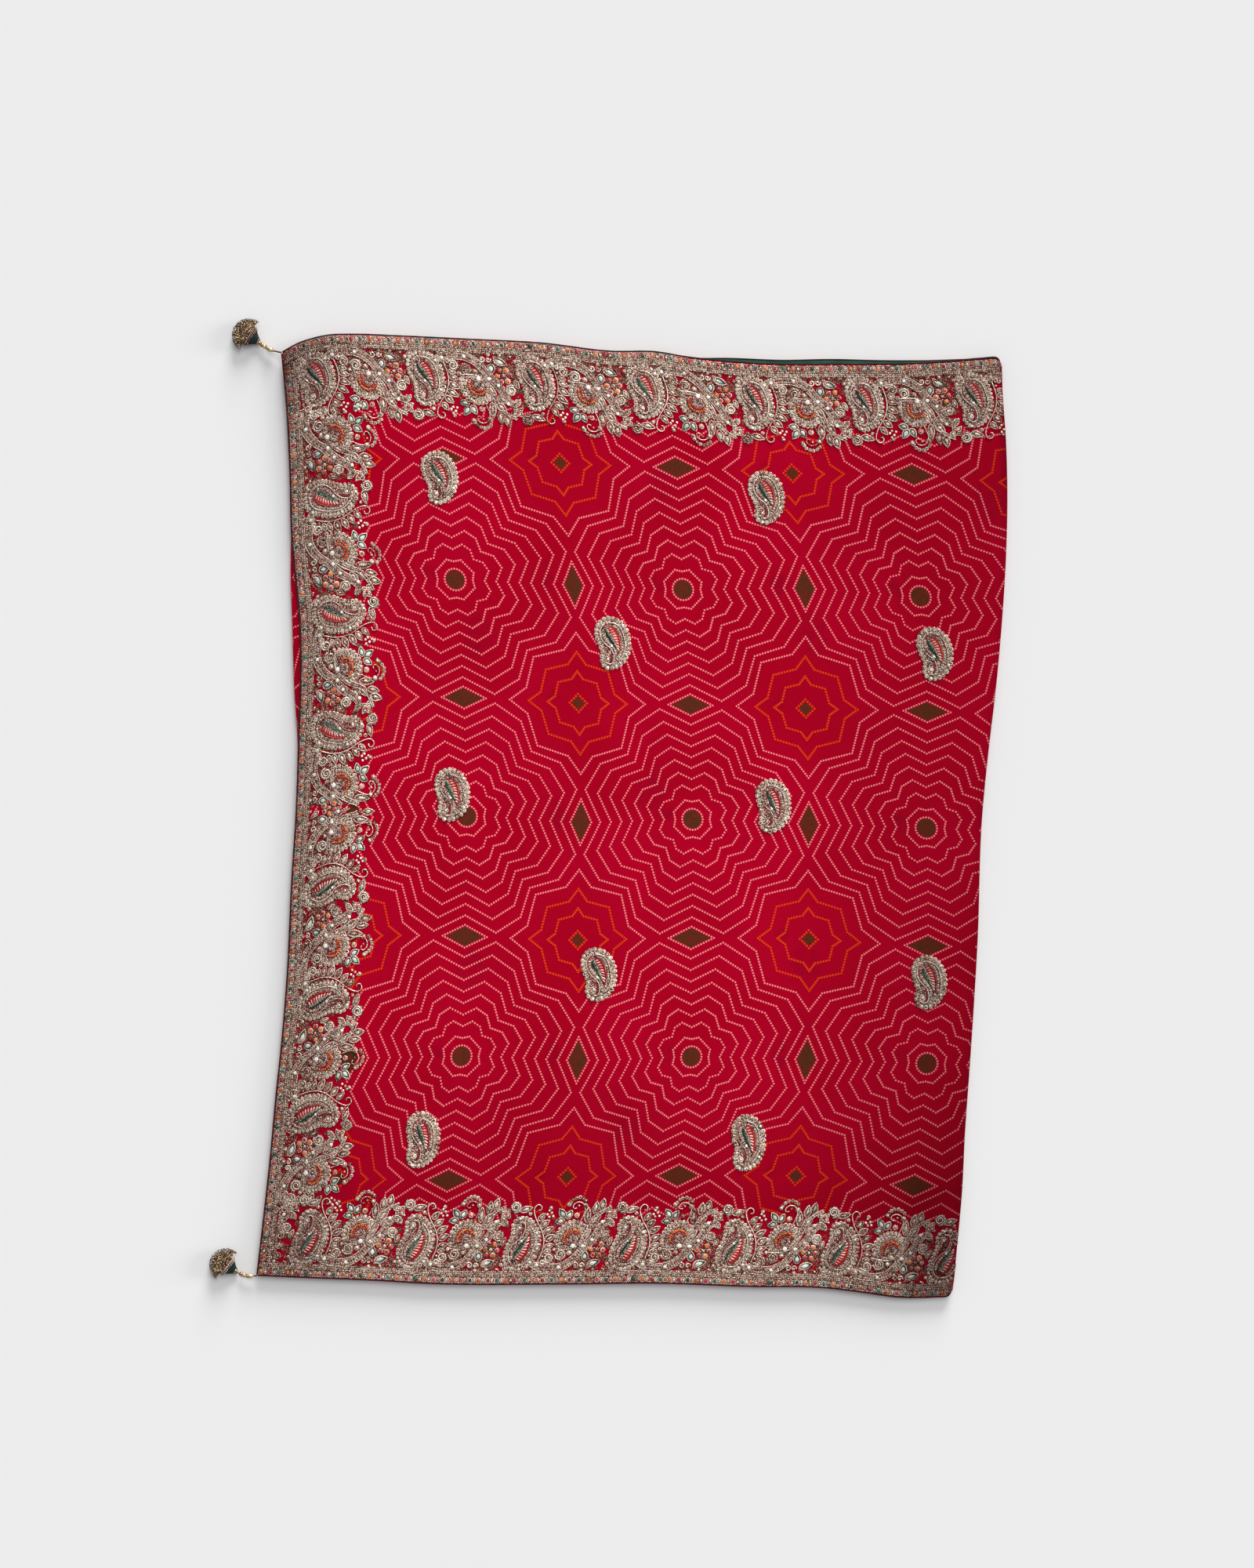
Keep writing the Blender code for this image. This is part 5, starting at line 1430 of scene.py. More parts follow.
# %% Finishes of the embroidery
# how much painted shade the embroidery gets at the lower edge, at the fold and at the left
EMBROIDERY_SHADE = (0.15, 0.5, 0.42)


def shades(made, stops, grain, reach=0.5, painted_shade=True):
    """A colour that follows the tone of a mark, from the first stop to the last."""
    tone = made.add("Attribute", {"attribute_name": "tone"}, out=2)
    where = made.place()
    # noise varies the tone along the thread, partly as painted glints and specks of painted shade
    tone = tone + (made.noise(where, grain, 2.0) - 0.5) * reach
    tone = tone + (made.noise(where, grain * 2.3, 0.0) - 0.5) * (2.6 * reach)
    low = made.mix(stops[0], stops[1], tone.rise(0.0, 0.5))
    tone = made.mix(low, stops[2], tone.rise(0.5, 1.05))
    # painted shade towards the fold and the edges, unless it is turned off
    return made.shaded(tone, *EMBROIDERY_SHADE) if painted_shade else tone


def foil(name, stops, roughness, metallic, painted_shade=True):
    """Metal thread with fine winding."""
    made = Finish(name, roughness=roughness, metallic=metallic)
    winding = made.noise(made.place(), 1500.0, 1.0)
    rough = winding * 0.3 + (roughness - 0.12)
    tone = shades(made, stops, 420.0, 0.92, painted_shade)
    return made.feed(Base_Color=tone, Roughness=rough, Normal=made.bump(winding, 0.0002, 0.5))


def netting(name):
    """Chain stitch on dark gauze: pale loops, and holes between them that show cloth and painted shade."""
    made = Finish(name, roughness=0.55, metallic=0.3)
    where = made.place()
    loop = made.cells(where, 520.0)
    # the crimson of the cloth and painted shade, in the holes between the loops
    gap = made.mix((66, 14, 18), (150, 0, 30), made.noise(where, 230.0, 1.0).rise(0.48, 0.58))
    tone = made.mix((172, 124, 104), gap, loop.rise(0.16, 0.46))
    # painted glints on the loops
    tone = made.mix(tone, (250, 234, 212), made.noise(where, 800.0, 0.0).rise(0.56, 0.68) * 0.9)
    # specks of painted shade
    tone = made.mix(tone, (60, 20, 20), made.noise(where, 640.0, 0.0).fade(0.32, 0.44) * 0.8)
    return made.feed(Base_Color=made.shaded(tone, *EMBROIDERY_SHADE), Normal=made.bump(1 - loop, 0.0006, 0.7))


def curls(name):
    """Thin curls of thread on the crimson cloth, round scattered middles, with gaps between."""
    made = Finish(name, roughness=0.85, Specular_IOR_Level=0.05)
    density = made.add("Attribute", {"attribute_name": "tone"}, out=2)
    where = made.place()
    sway = made.noise(where, 160.0, 1.0)
    turns = made.cells(where, 118.0) * 4.4 + sway * 0.8
    line = abs(turns.maths("FRACT") - 0.5) * 2
    loop = made.cells(where, 520.0).fade(0.4, 0.62)
    raised = line.fade(0.5, 0.8) * (loop * 0.6 + 0.4)
    sparkle = made.noise(where, 760.0, 1.0)
    thread = made.mix((106, 58, 46), (214, 164, 142), sparkle.rise(0.4, 0.62))
    ground = made.mix((140, 0, 28), (56, 10, 16), made.noise(where, 300.0, 1.0).rise(0.4, 0.54))
    gap = (made.noise(where, 120.0, 2.0) - density * 0.17).rise(0.36, 0.41)
    tone = made.mix(made.mix(ground, thread, raised), (168, 0, 33), gap)
    raised = raised * (1 - gap)
    return made.feed(Base_Color=made.shaded(tone, *EMBROIDERY_SHADE), Normal=made.bump(raised, 0.0008, 0.8))


def silk(name, stops, roughness=0.45, painted_shade=True):
    made = Finish(name, roughness=roughness, Specular_IOR_Level=0.4)
    strand = made.noise(made.place(), 900.0, 2.0)
    return made.feed(Base_Color=shades(made, stops, 600.0, 0.5, painted_shade), Normal=made.bump(strand, 0.0003, 0.5))


def glass(name, stops):
    """A cut glass stone on foil."""
    made = Finish(name, roughness=0.22, Specular_IOR_Level=0.3, Coat_Weight=0.2, Coat_Roughness=0.08)
    return made.feed(Base_Color=shades(made, stops, 380.0, 0.5))


# thread colours: painted shade in the gaps, the thread's own colour, then a painted highlight
ZARI = ((44, 12, 12), (162, 112, 90), (254, 236, 214))
BRIGHT_ZARI = ((62, 24, 20), (196, 147, 122), (255, 245, 228))
LOOK_MATERIALS = {
    "thread": foil("zari_thread", ZARI, 0.4, 0.35),
    "cord": foil("zari_cord", BRIGHT_ZARI, 0.34, 0.3),
    "gauze": netting("chain_on_gauze"),
    "lace": curls("curled_filling"),
    "pearl": foil("silver_pearl", BRIGHT_ZARI, 0.24, 0.25),
    # a painted glint: sequins near white, a flat colour in place of the light they flash
    "sequin": foil("sequin", ((190, 164, 120), (255, 248, 228), (255, 255, 250)), 0.3, 0.0),
    "orange": glass("orange_stone", ((150, 50, 8), (228, 104, 26), (246, 154, 80))),
    "red": glass("pink_stone", ((120, 6, 28), (190, 22, 48), (228, 92, 96))),
    "teal": glass("teal_stone", ((4, 40, 40), (6, 84, 74), (60, 148, 128))),
    "green_silk": silk("green_silk", ((4, 26, 20), (20, 72, 54), (150, 176, 148))),
    "red_silk": silk("red_silk", ((120, 0, 20), (186, 20, 26), (222, 52, 44))),
    "satin": silk("pale_satin", ((208, 78, 68), (238, 164, 150), (255, 240, 232)), 0.3),
    "teal_leaf": silk("teal_edged_silk", ((14, 58, 58), (40, 96, 90), (120, 160, 146)), 0.3),
    "silver": silk("silver_satin", ((96, 112, 100), (186, 190, 172), (255, 252, 242)), 0.25),
    "pink_bead": silk("pink_beads", ((196, 60, 50), (244, 150, 130), (255, 226, 214)), 0.25),
    "velvet": silk("green_velvet", ((2, 11, 11), (6, 28, 28), (22, 56, 54)), 0.8, False),
    "copper": foil("copper_beads", ((42, 25, 12), (114, 80, 48), (214, 184, 146)), 0.28, 0.3, False),
    "gold": foil("gold_beads", ((44, 30, 14), (130, 98, 58), (240, 216, 172)), 0.25, 0.6, False),
    "grey_pearl": foil("grey_pearls", ((44, 40, 44), (100, 94, 96), (196, 190, 186)), 0.25, 0.2, False),
}
print("finishes of the embroidery:", len(LOOK_MATERIALS))

# %% [markdown]
# A border lays its repeats along the cloth's edge. Every point of the drawing goes to a place along the
# edge, a depth from it and a height above the cloth, and from there onto the curved stretch itself. The
# marks that would fall past a border's ends are left out, and on the right they turn down round the fold.
# No two copies are quite alike: a seeded draw moves each mark a little and changes its tone.

# %% Laying embroidery on the cloth
MOTIF_DEPTH = 50.0
END_SHARE = 0.98
# first repeat, pitch, count, lowest and highest place along
BORDER_REPEATS = {
    "top": (34.5, 131.0, 7, 16.0, STRETCH + 0.6),
    "bottom": (57.0, 131.0, 7, 16.0, STRETCH + 0.6),
    "end_upper": (190.0, 139.0, 3, 84.0, WIDTH / 2 - 1.0),
    "end_lower": (193.0, 136.0, 3, 84.0, WIDTH / 2 - 1.0),
}
OVERHANG = 1.8
LACE_OVERHANG = 7.0
GROUP_SLACK = 1.5
PAST_FOLD = 9.0
FIRST_REACH = 27.0
LOWEST_LIFT = 0.05
EDGE_GAP = 0.8
END_BEND = 19.0
FLIPPED = ("bottom", "end_upper")
rng = np.random.default_rng(7)


def joined(parts):
    """Several lists of points, triangles, looks and tones as one."""
    starts = np.cumsum([0] + [len(p[0]) for p in parts[:-1]])
    corners = np.concatenate([p[1] + start for p, start in zip(parts, starts)])
    points, looks, tones = (np.concatenate([p[n] for p in parts]) for n in (0, 2, 3))
    return points, corners, looks, tones


def varied(work, keep, wander=0.16):
    """The kept marks of a drawing, each moved a little and a little brighter or darker."""
    parts = []
    for (look, points, corners, tones, spread), kept in zip(work.marks, keep):
        if kept:
            moved = points + np.append(rng.normal(0.0, wander, 2), 0.0)
            parts.append((moved, corners, np.full(len(corners), look), tones + rng.normal(0.0, spread)))
    return joined(parts)


def gather(name, parts, node, materials):
    """One piece from lists of points in mm, triangles, looks and tones."""
    points, corners, looks, tones = joined(parts)
    used = sorted(set(looks.tolist()))
    mesh = bpy.data.meshes.new(name)
    mesh.vertices.add(len(points))
    mesh.vertices.foreach_set("co", (points * MM).ravel())
    mesh.loops.add(corners.size)
    mesh.loops.foreach_set("vertex_index", corners.ravel())
    mesh.polygons.add(len(corners))
    mesh.polygons.foreach_set("loop_start", np.arange(0, corners.size, 3))
    mesh.polygons.foreach_set("material_index", np.searchsorted(used, looks))
    mesh.update(calc_edges=True)
    mesh.attributes.new("tone", "FLOAT", "POINT").data.foreach_set("value", np.clip(tones, 0.0, 1.0))
    for index in used:
        mesh.materials.append(materials[LOOKS[index]])
    mesh.shade_smooth()
    ob = bpy.data.objects.new(name, mesh)
    bpy.context.scene.collection.objects.link(ob)
    dress(ob, node)
    print(name + ":", len(corners), "triangles")


def edge_place(border, along, depth):
    """Cloth coordinates of a place along a border and in from its edge."""
    if border == "top":
        return along, WIDTH - depth
    if border == "bottom":
        return along, depth
    if border == "end_upper":
        return depth, WIDTH - along
    return depth, along


def lay_repeats(border, work, width, first, pitch, count, low, high):
    """Copies of one drawing along a border, on the cloth."""
    spans = [(m[1][:, 0].min(), m[1][:, 0].mean(), m[1][:, 0].max()) for m in work.marks]
    near, mid, far = np.array(spans).T * pitch / width
    for a, b in work.groups:
        near[a:b], far[a:b] = near[a:b].min() + GROUP_SLACK, far[a:b].max() - GROUP_SLACK
        mid[a:b] = mid[a:b].mean()
    parts = []
    over = np.where([m[0] == LOOKS.index("lace") for m in work.marks], LACE_OVERHANG, OVERHANG)
    past = over if border.startswith("end") else np.maximum(over, PAST_FOLD)
    for k in range(-1, count):
        at = first + k * pitch
        begin = low if k else min(low, at - FIRST_REACH)
        keep = (at + mid > begin + OVERHANG - over) & (at + mid < high + over - OVERHANG)
        keep &= (at + near > begin - over) & (at + far < high + past)
        if not keep.any():
            continue
        points, corners, looks, tones = varied(work, keep)
        reach = at + points[:, 0] * pitch / width
        lifts = np.maximum(points[:, 2], LOWEST_LIFT)
        if not border.startswith("end"):
            # painted shade: marks darker as they near the fold
            tones = tones - 0.4 * ease((reach - STRETCH + 9.0) / 9.0)
            lifts = lifts * (1 - 0.7 * ease((reach - STRETCH + 3.0) / 3.0))
        depth = np.maximum(MOTIF_DEPTH - points[:, 1], EDGE_GAP)
        if border.startswith("end"):
            depth = np.where(depth > END_BEND, END_BEND + (depth - END_BEND) * END_SHARE, depth)
        placed = on_cloth(*edge_place(border, reach, depth), WALL + lifts)
        parts.append((placed, corners[:, ::-1] if border in FLIPPED else corners, looks, tones))
    return parts


print("a repeat is", PITCH, "mm long and its paisley lies", MOTIF_DEPTH, "mm in from the edge")

# %% [markdown]
# The pallu end has two runs of repeats, which mirror each other and meet at its middle in one more flower.
# The two long borders each have one run, with a small filling in the corner before their first paisley.

# %% The three borders
for name, sides in (("top", ("top",)), ("bottom", ("bottom",)), ("end", ("end_upper", "end_lower"))):
    parts = [part for side in sides for part in lay_repeats(side, repeat, PITCH, *BORDER_REPEATS[side])]
    if name == "end":
        first, ends = WIDTH / 2 - STONE_FLOWER[0], (WIDTH / 2 - 20, WIDTH / 2 + 20)
        parts += lay_repeats("end_lower", flower, PITCH, first, PITCH, 1, *ends)
    else:
        parts += lay_repeats(name, corner, PITCH, 0.0, PITCH, 1, 14.0, 60.0)
    gather(f"embroidery_{name}", parts, f"border_{name}", LOOK_MATERIALS)

# %% [markdown]
# Along the three edges runs a narrow trim: oval stones in orange, pink and green, each in a ring of silver
# wire with a pearl loop between two, and inside them a braid of fine silver chain. It is drawn for three
# stones and repeated.

# %% The row of stones and the braid
STONE_PITCH = 11.2
STONE_ROW = MOTIF_DEPTH - 4.4
BRAID = (MOTIF_DEPTH - 9.2, MOTIF_DEPTH - 15.0)
BRAID_MIDDLE = sum(BRAID) / 2
TRIM_LENGTH = 3 * STONE_PITCH
OVAL = np.array([(math.cos(a), math.sin(a)) for a in full_turn(10)])

trim = Drawing()
for k, look in enumerate(("orange", "red", "teal")):
    x = k * STONE_PITCH
    trim.cord("cord", OVAL * (2.45, 3.15) + (x, STONE_ROW), 0.5, 1.0, sides=3, closed=True, tone=0.62)
    trim.put(look, STONE, x, STONE_ROW, 2.25, 2.95, high=1.5, lift=0.9)
    beside_stone = (x + STONE_PITCH / 2, STONE_ROW)
    trim.cord("cord", OVAL * (2.2, 2.8) + beside_stone, 0.55, 0.9, sides=3, closed=True, tone=0.62)
    trim.put("pearl", PEARL, *beside_stone, 1.3, 1.8, high=1.4, lift=0.5, tone=0.7)
    for dx, dy in ((-2.8, 3.3), (2.8, 3.3), (-2.8, -3.4), (2.8, -3.4)):
        trim.put("thread", KNOT, x + dx, STONE_ROW + dy, 1.05, high=1.1, lift=0.3)
    line = np.array([(x + step * STONE_PITCH / 2, BRAID_MIDDLE) for step in range(3)])
    trim.ribbon("gauze", line + (0, 3.9), 7.5, 0.2, 0.4)
    for y, size in ((BRAID[0] - 0.4, 1.1), (BRAID[1] + 0.5, 1.1)):
        trim.knots(line * (1, 0) + (0, y), size, 2.2, "thread", 0.6, stretch=1.15)
    trim.looped(line, 1.7, 2.9, 0.8)
TRIM_RUNS = {
    "top": ("top", 3.4, 27, 0.6, STRETCH + 0.6),
    "bottom": ("bottom", 3.4, 27, 0.6, STRETCH + 0.6),
    "end": ("end_lower", 24.0, 34, 17.0, WIDTH - 17.0),
}
for name, (side, first, count, low, high) in TRIM_RUNS.items():
    parts = lay_repeats(side, trim, TRIM_LENGTH, first, TRIM_LENGTH, count, low, high)
    gather(f"stone_trim_{name}", parts, f"gem_strip_{name}", LOOK_MATERIALS)

# %% [markdown]
# The ten loose paisleys are appliques: worked apart and sewn on, so each is turned a little its own way.

# %% The ten loose paisleys
# x, y, turn in degrees
LOOSE_PLACES = (
    (-203, 398.1, 2), (192, 374, 1), (6.1, 198, -1), (395.7, 185, 1), (-188.5, 14.5, -6), (200, 1, -6),
    (-10.9, -202.5, -3), (388.2, -212, -6), (-224.5, -402.7, -12), (169.5, -406.1, -9),
)
SINGLE_SIZE = (0.905, 0.97)
LAST_TWO_SIZE = (0.89, 1.03)


def over_field(points, x, y, turn):
    """Points of a drawing set down on the field around a place."""
    cos, sin = math.cos(math.radians(turn)), math.sin(math.radians(turn))
    px = x + points[:, 0] * cos - points[:, 1] * sin
    py = y + points[:, 0] * sin + points[:, 1] * cos
    face = pile_top(px, py) + TOP_BASE + crease_height(px, py) + WALL
    return np.stack((px, py, face + np.maximum(points[:, 2], LOWEST_LIFT)), -1)


for number, (x, y, turn) in enumerate(LOOSE_PLACES, 1):
    single = Drawing()
    draw_paisley(single, size=SINGLE_SIZE if number < 9 else LAST_TWO_SIZE)
    points, corners, looks, tones = varied(single, [True] * len(single.marks), 0.14)
    parts = [(over_field(points, x, y, turn), corners, looks, tones)]
    gather(f"butti_{number:02d}", parts, f"paisley_{number:02d}", LOOK_MATERIALS)

# %% [markdown]
# The cut edges are bound in a thin cord, dark green but for the wine red one below, and where the second
# stretch peeks out above the top right its border shows a dark green backing cloth, with a binding of its
# own.

# %% Bindings and backing
PIPING_RADIUS = 1.0
PIPING_OFFSET = PIPING_RADIUS + 0.3
BACKING_DEPTH = 24.0
BACKING_START = 0.56
STEEPEST = 0.01
TUBE_SIDES = 8
# how far each binding lies past the edge, and its size
BINDINGS = {"top": (PIPING_OFFSET, 1.0), "bottom": (-0.6, 0.75), "end": (-0.75, 0.85)}


def tube(path, radii, tone=0.5, look=0):
    """Points, triangles, looks and tones of a round tube along a line in space."""
    path = np.asarray(path, float)
    heading = np.gradient(path, axis=0)
    heading /= np.linalg.norm(heading, axis=1, keepdims=True)
    beside_it = np.cross(heading, (0.0, 0.0, 1.0))
    for before, here in zip(beside_it, beside_it[1:]):
        if np.linalg.norm(here) < STEEPEST:
            here[:] = before
        elif here @ before < 0:
            here *= -1
    beside_it /= np.linalg.norm(beside_it, axis=1, keepdims=True)
    above = np.cross(beside_it, heading)
    radii = np.broadcast_to(radii, len(path))[:, None]
    rings = []
    for angle in full_turn(TUBE_SIDES):
        rings.append(path + beside_it * radii * math.cos(angle) + above * radii * math.sin(angle))
    corners = rings_joined(len(path), TUBE_SIDES)[:, ::-1]
    points = np.stack(rings, 1).reshape(-1, 3)
    return points, corners, np.full(len(corners), look), np.full(len(points), tone)


def dark_cloth(name, stops):
    """Plain dark silk, slubby and a little rubbed."""
    made = Finish(name, roughness=0.7, Specular_IOR_Level=0.25)
    where = made.place()
    thread = made.noise(where, 900.0, 2.0)
    slub = made.noise(where, 60.0, 3.0)
    tone = made.mix(stops[0], stops[1], (thread * 0.5 + slub * 0.5).rise(0.35, 0.65))
    return made.feed(Base_Color=tone, Normal=made.bump(thread, 0.0003, 0.6))


green_binding = dict.fromkeys(LOOKS, dark_cloth("green_binding", ((10, 20, 18), (34, 46, 38))))
wine_binding = dict.fromkeys(LOOKS, dark_cloth("wine_binding", ((40, 8, 14), (92, 16, 30))))
green_backing = dark_cloth("green_backing", ((4, 36, 26), (18, 62, 46)))
fold_u = STRETCH + np.linspace(0.0, math.pi * (FOLD_INNER + WALL / 2), 7)[1:]
corner_u = STRETCH - CORNER_RADIUS * np.array((0.8, 0.6, 0.4, 0.25, 0.12, 0.04, 0.0))
edge_u = np.concatenate((np.linspace(0.0, STRETCH - CORNER_RADIUS, 148), corner_u, fold_u))
for name, (past, size) in BINDINGS.items():
    if name == "end":
        path = on_cloth(0.0, np.linspace(0.0, WIDTH, 190), WALL / 2)
    else:
        path = on_cloth(edge_u, WIDTH if name == "top" else 0.0, WALL / 2)
    path[:, 0 if name == "end" else 1] += past
    wave = PIPING_RADIUS * (1 + 0.06 * np.sin(np.arange(len(path)) * 1.9)) * size
    if name == "top":
        thicker = 0.4 * ease((edge_u - STRETCH + 130.0) / 60.0)
        wave = wave * (1 + thicker - 0.9 * ease((edge_u - STRETCH + 5.0) / 6.0))
    looks = wine_binding if name == "bottom" else green_binding
    gather(f"binding_{name}", [tube(path, wave)], f"piping_{name}", looks)

share = np.linspace(1 - (RETURN + 1.0) / STRETCH, BACKING_START, 60)
plan = SECOND.at(share, 1.0)
height = pile_top(plan[:, 0], plan[:, 1]) + SECOND_BASE + WALL
taper = PIPING_RADIUS * np.interp(np.arange(len(plan)), (0, 12, 56, 59), (0.4, 1.0, 1.0, 0.4))
path = np.column_stack((plan[:, 0], plan[:, 1] + taper, height - WALL / 2))
gather("binding_second", [tube(path, taper)], "piping_second", green_binding)
t_marks = 1 - np.linspace(BACKING_DEPTH, 0.0, 5) / WIDTH
plan = SECOND.at(share[:, None], t_marks)
height = pile_top(plan[..., 0], plan[..., 1]) + SECOND_BASE + WALL + 0.75
grid = np.concatenate((plan, height[..., None]), -1)[::-1]
backing = sheet_piece("backing_strip", grid, plan[::-1], 0.5, green_backing)
dress(backing, "second_backing")

# %% [markdown]
# A tassel is tied to each corner of the pallu end. A thread with gold beads leads to a stiff cone of dark
# green cloth, whose mouth is bound with gold and two rows of small beads. From it a thick fan of strung
# seed beads spreads out, copper and gold, each string ending in a grey pearl. The strings are short, so
# they stand out like a brush.

# %% Tassels
# name, x, y, angle, start x, start y, how far the beads slid towards the saree
TASSELS = (
    ("top", -432.7, 569.64, 146.0, -393.6, 549.1, 0.0),
    ("bottom", -460.1, -554.6, 142.5, -423.35, -566.75, 0.14),
)
MOUTH_HEIGHT = 9.8
MOUTH_HALF_WIDTH = 12.0
MOUTH_HALF_HEIGHT = 8.6
CONE_LENGTH = 8.8
CONE_TIP = 4.4
CONE_GAP = 0.6
CONE_SIDES = 32
RIM_LENGTH = 2.2
AXIS_SINK = 3.4
FAN_LENGTH = 21.0
FAN_HALF_WIDTH = 20.4
FAN_ANGLE = 92.0
STRINGS = (22, 6)
SEED = 0.86
# along, past the mouth's half sizes
RIM_RINGS = (
    (-2.6, -0.5), (-2.5, 0.25), (-2.1, 0.25), (-1.95, -0.1), (-1, -0.1), (-0.85, 0.25), (-0.4, 0.25),
    (-0.3, -0.5),
)
# along, half width, half height above and below, bead radius
BAND_ROWS = ((-1.5, 12.35, 8.7, 7.7, 1.2), (-3.8, 10.9, 8.0, 6.6, 1.1))
# along, half width, half height of the body inside the strings
CORE = (
    (0.0, MOUTH_HALF_WIDTH - 1.4, MOUTH_HALF_HEIGHT - 2.4), (6.0, 14.5, 5.8), (13.0, 13.0, 4.6),
    (18.0, 7.0, 3.0),
)
BAND_BEADS = 28
CORD_SAG = 2.6
CORD_STEPS = 24
# share of the cord, radius, stretch along it, look, tone
CORD_BEADS = (
    (0.36, 1.8, 0.8, "copper", 0.3), (0.49, 3.1, 1.9, "gold", 0.7), (0.65, 2, 0.6, "pink_bead", 0.2),
    (0.72, 3, 1, "gold", 0.75), (0.81, 3.1, 0.8, "gold", 0.5), (0.88, 2.4, 0.7, "copper", 0.4),
)


class TasselFrame:
    """Places a tassel's own coordinates: along its axis, to its left, and up."""

    def __init__(self, x, y, angle):
        turn = math.radians(angle)
        self.mouth = np.array((x, y, MOUTH_HEIGHT))
        cos, sin = math.cos(turn), math.sin(turn)
        self.axes = np.array(((cos, sin, 0), (-sin, cos, 0), (0, 0, 1)))

    def at(self, places):
        """Points from rows of along, left and up, the cone's tip sinking a little."""
        places = np.array(places, float)
        places[:, 2] += AXIS_SINK * np.minimum(places[:, 0], 0.0) / CONE_LENGTH
        return self.mouth + places @ self.axes


def oval_body(frame, rings, look, tone=0.5):
    """A body of oval rings across the tassel's axis: along, half width, half height."""
    rows = []
    for along, wide, high in sorted(rings):
        for angle in full_turn(CONE_SIDES):
            rows.append((along, wide * math.cos(angle), high * math.sin(angle)))
    corners = rings_joined(len(rings), CONE_SIDES)
    points = frame.at(rows)
    return points, corners, np.full(len(corners), LOOKS.index(look)), np.full(len(points), tone)


def bead(middle, size, look, tone, shape=BEAD, ahead=(1, 0, 0), stretch=1.0):
    """One bead, drawn out along a direction."""
    points, corners = shape
    ahead = np.asarray(ahead, float) / np.linalg.norm(ahead)
    placed = points * size
    placed = placed + np.outer(placed @ ahead, ahead) * (stretch - 1)
    # painted shade and highlight: a bead is lighter on top and darker below
    return placed + middle, corners, np.full(len(corners), LOOKS.index(look)), tone + points[:, 2] * 0.2


def strung_beads(frame):
    """Strings of seed beads that arch out into a half dome, with a pearl at the end of each string."""
    parts = []
    columns, rows = STRINGS
    for i in range(columns):
        for j in range(rows):
            left = 2 * (i + 0.5 + (j % 2 - 0.5) * 0.5) / columns - 1
            up = 2 * (j + 0.5) / rows - 1
            if left * left * 0.7 + up * up > 1.05:
                continue
            turn = math.radians(FAN_ANGLE) * left
            reach = 1.0 - 0.1 * up * up + 0.02 * rng.uniform(-1, 1)
            root = np.array((0.0, left * (MOUTH_HALF_WIDTH - 1.2)))
            end = np.array((FAN_LENGTH * math.cos(turn), FAN_HALF_WIDTH * math.sin(turn))) * reach
            knee = (root + end) / 2 + (0.22 * FAN_LENGTH, 0.0)
            share = np.linspace(0.0, 1.0, 30)[:, None]
            path = (1 - share) ** 2 * root + 2 * share * (1 - share) * knee + share**2 * end
            runs = lengths_along(path)
            count = max(3, round(runs[-1] / (1.75 * SEED)))
            for n in range(count):
                at = (n + 0.6) / count
                along, aside = (np.interp(at * runs[-1], runs, path[:, axis]) for axis in (0, 1))
                height = up * (MOUTH_HALF_HEIGHT - 2.1) * math.sqrt(1 - 0.72 * at * at)
                place = np.array((along, aside, height)) + rng.normal(0.0, 0.4, 3) * (n < count - 1)
                last = n == count - 1
                look = "grey_pearl" if last else ("copper" if rng.random() < 0.75 else "gold")
                size = SEED * (1.35 if last else rng.uniform(1.0, 1.25))
                parts.append(bead(frame.at([place])[0], size, look, rng.uniform(0.0, 1.0)))
    return parts


print("strings in the fan, before the corners are left out:", STRINGS[0] * STRINGS[1])

# %% [markdown]
# Both tassels are put together here, from the cone to its bound mouth, the fan and the thread with its
# beads. The beads of the lower one slid a little towards the saree.

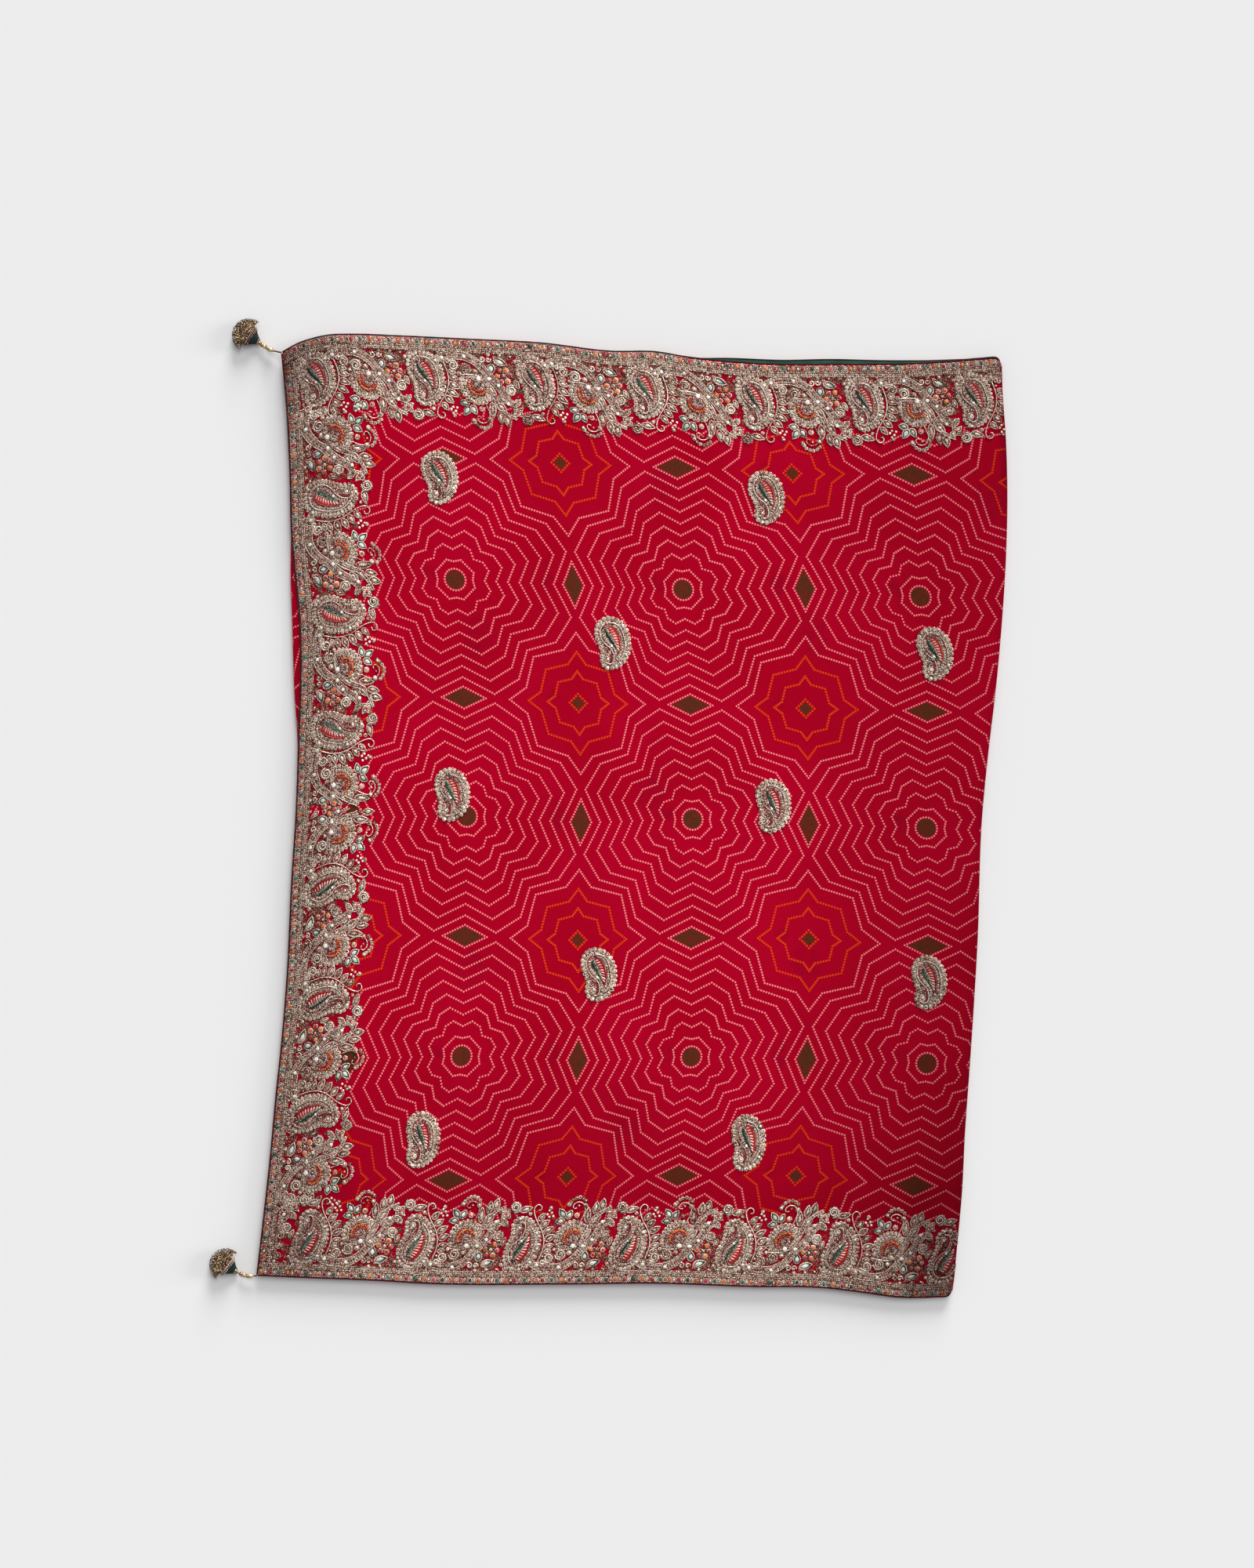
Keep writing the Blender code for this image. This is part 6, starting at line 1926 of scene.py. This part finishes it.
# %% Both tassels
for name, x, y, angle, start_x, start_y, slid in TASSELS:
    spot = TasselFrame(x, y, angle)
    shares = np.linspace(0.0, 1.0, 7)
    back = -RIM_LENGTH - CONE_GAP - CONE_LENGTH * shares
    wide, high = (n - 0.2 + (CONE_TIP - n) * shares**0.85 for n in (MOUTH_HALF_WIDTH, MOUTH_HALF_HEIGHT))
    cone = [oval_body(spot, list(zip(back, wide, high)), "velvet")]
    gather(f"tassel_{name}_head", cone, f"tassel_{name}_cone", LOOK_MATERIALS)

    rings = [(along, MOUTH_HALF_WIDTH + past, MOUTH_HALF_HEIGHT + past) for along, past in RIM_RINGS]
    rim = [oval_body(spot, rings, "gold", 0.45)]
    for along, wide, high, low, size in BAND_ROWS:
        for angle in full_turn(BAND_BEADS):
            place = (along, wide * math.cos(angle), (high if angle < math.pi else low) * math.sin(angle))
            look = "pearl" if rng.random() < 0.8 else "pink_bead"
            rim.append(bead(spot.at([place])[0], size, look, rng.uniform(0.3, 1.0)))
    gather(f"tassel_{name}_band", rim, f"tassel_{name}_rim", LOOK_MATERIALS)

    strings = [oval_body(spot, CORE, "copper", 0.02)] + strung_beads(spot)
    gather(f"tassel_{name}_fringe", strings, f"tassel_{name}_strands", LOOK_MATERIALS)

    tip = spot.at([(-RIM_LENGTH - CONE_GAP - CONE_LENGTH - 0.2, 0.0, 0.0)])[0]
    lie = float(pile_top(start_x + 8.0, start_y))
    start = np.array((start_x, start_y, lie + TOP_BASE + WALL / 2))
    shares = np.linspace(0.0, 1.0, CORD_STEPS + 1)
    path = start + (tip - start) * shares[:, None] - np.outer(CORD_SAG * np.sin(math.pi * shares), (0, 1, 0))
    cord = [tube(path, 0.95, 0.32, LOOKS.index("thread"))]
    cap = spot.at([(-RIM_LENGTH - CONE_LENGTH - 1.2, 0.0, 0.0)])[0]
    cord.append(bead(cap, 4.3, "gold", 0.3, BIG_BEAD, spot.axes[0], 0.55))
    cord.append(bead(cap - spot.axes[0] * 2.0, 3.0, "copper", 0.5, BIG_BEAD, spot.axes[0], 0.7))
    for share, size, stretch, look, tone in CORD_BEADS:
        place = (share - slid) * CORD_STEPS
        step = int(place)
        following = path[min(step + 1, CORD_STEPS)]
        middle = path[step] + (following - path[step]) * (place - step)
        ahead = following - path[max(step - 1, 0)]
        cord.append(bead(middle, size, look, tone, BIG_BEAD, ahead, stretch))
    gather(f"tassel_{name}_thread", cord, f"tassel_{name}_cord", LOOK_MATERIALS)

# %% [markdown]
# The saree lies on a plain pale floor. The photograph was taken from straight above. Its shadows are long
# below the saree, short on both sides and missing above it, so the main light comes low and soft from the
# upper edge, with a higher one and a weak one from the right, and an even light fills the shadows.

# %% Floor, light and camera
FRAME_TALL = 1.9
LENS = 85.0
SENSOR = 36.0
LOOK_AT = (0.02423, 0.02755)
SKY_STRENGTH = 0.322

bpy.ops.mesh.primitive_plane_add(size=12.0, location=(0, 0, 0))
floor = bpy.context.active_object
floor.name = "floor"
paper = Finish("pale_floor", roughness=0.9, Specular_IOR_Level=0.1)
tone = paper.noise(paper.place(), 1.3, 1.0)
floor.data.materials.append(paper.feed(Base_Color=paper.mix((236, 236, 236), (238, 238, 238), tone)))


def sun(name, azimuth, elevation, strength, spread, tint=(1.0, 1.0, 1.0)):
    """A soft sun: the way it comes from, its strength and how wide it is, in degrees."""
    data = bpy.data.lights.new(name, "SUN")
    data.energy = strength
    data.angle = math.radians(spread)
    data.color = tint
    ob = bpy.data.objects.new(name, data)
    bpy.context.scene.collection.objects.link(ob)
    turn, rise = math.radians(azimuth), math.radians(elevation)
    toward = Vector((math.cos(turn) * math.cos(rise), math.sin(turn) * math.cos(rise), math.sin(rise)))
    ob.rotation_euler = toward.to_track_quat("Z", "Y").to_euler()
    ob.location = toward * 3.0
    return ob


sun("window", 66.0, 66.0, 0.8, 34.0, (1.0, 0.99, 0.97))
sun("low_window", 78.0, 21.0, 3.0, 28.0, (1.0, 0.99, 0.98))
sun("side_window", 8.0, 19.0, 1.1, 26.0)
world = bpy.data.worlds.new("studio")
bpy.context.scene.world = world
world.use_nodes = True
world.node_tree.nodes["Background"].inputs["Color"].default_value = (0.95, 0.97, 1.0, 1.0)
world.node_tree.nodes["Background"].inputs["Strength"].default_value = SKY_STRENGTH

view = bpy.data.cameras.new("from_above")
view.sensor_fit = "VERTICAL"
view.sensor_height = SENSOR
view.lens = LENS
camera = bpy.data.objects.new("from_above", view)
bpy.context.scene.collection.objects.link(camera)
camera.location = (*LOOK_AT, FRAME_TALL * LENS / SENSOR)
bpy.context.scene.camera = camera
bpy.context.scene.view_settings.view_transform = "Standard"
print("camera height in m:", round(camera.location.z, 3))
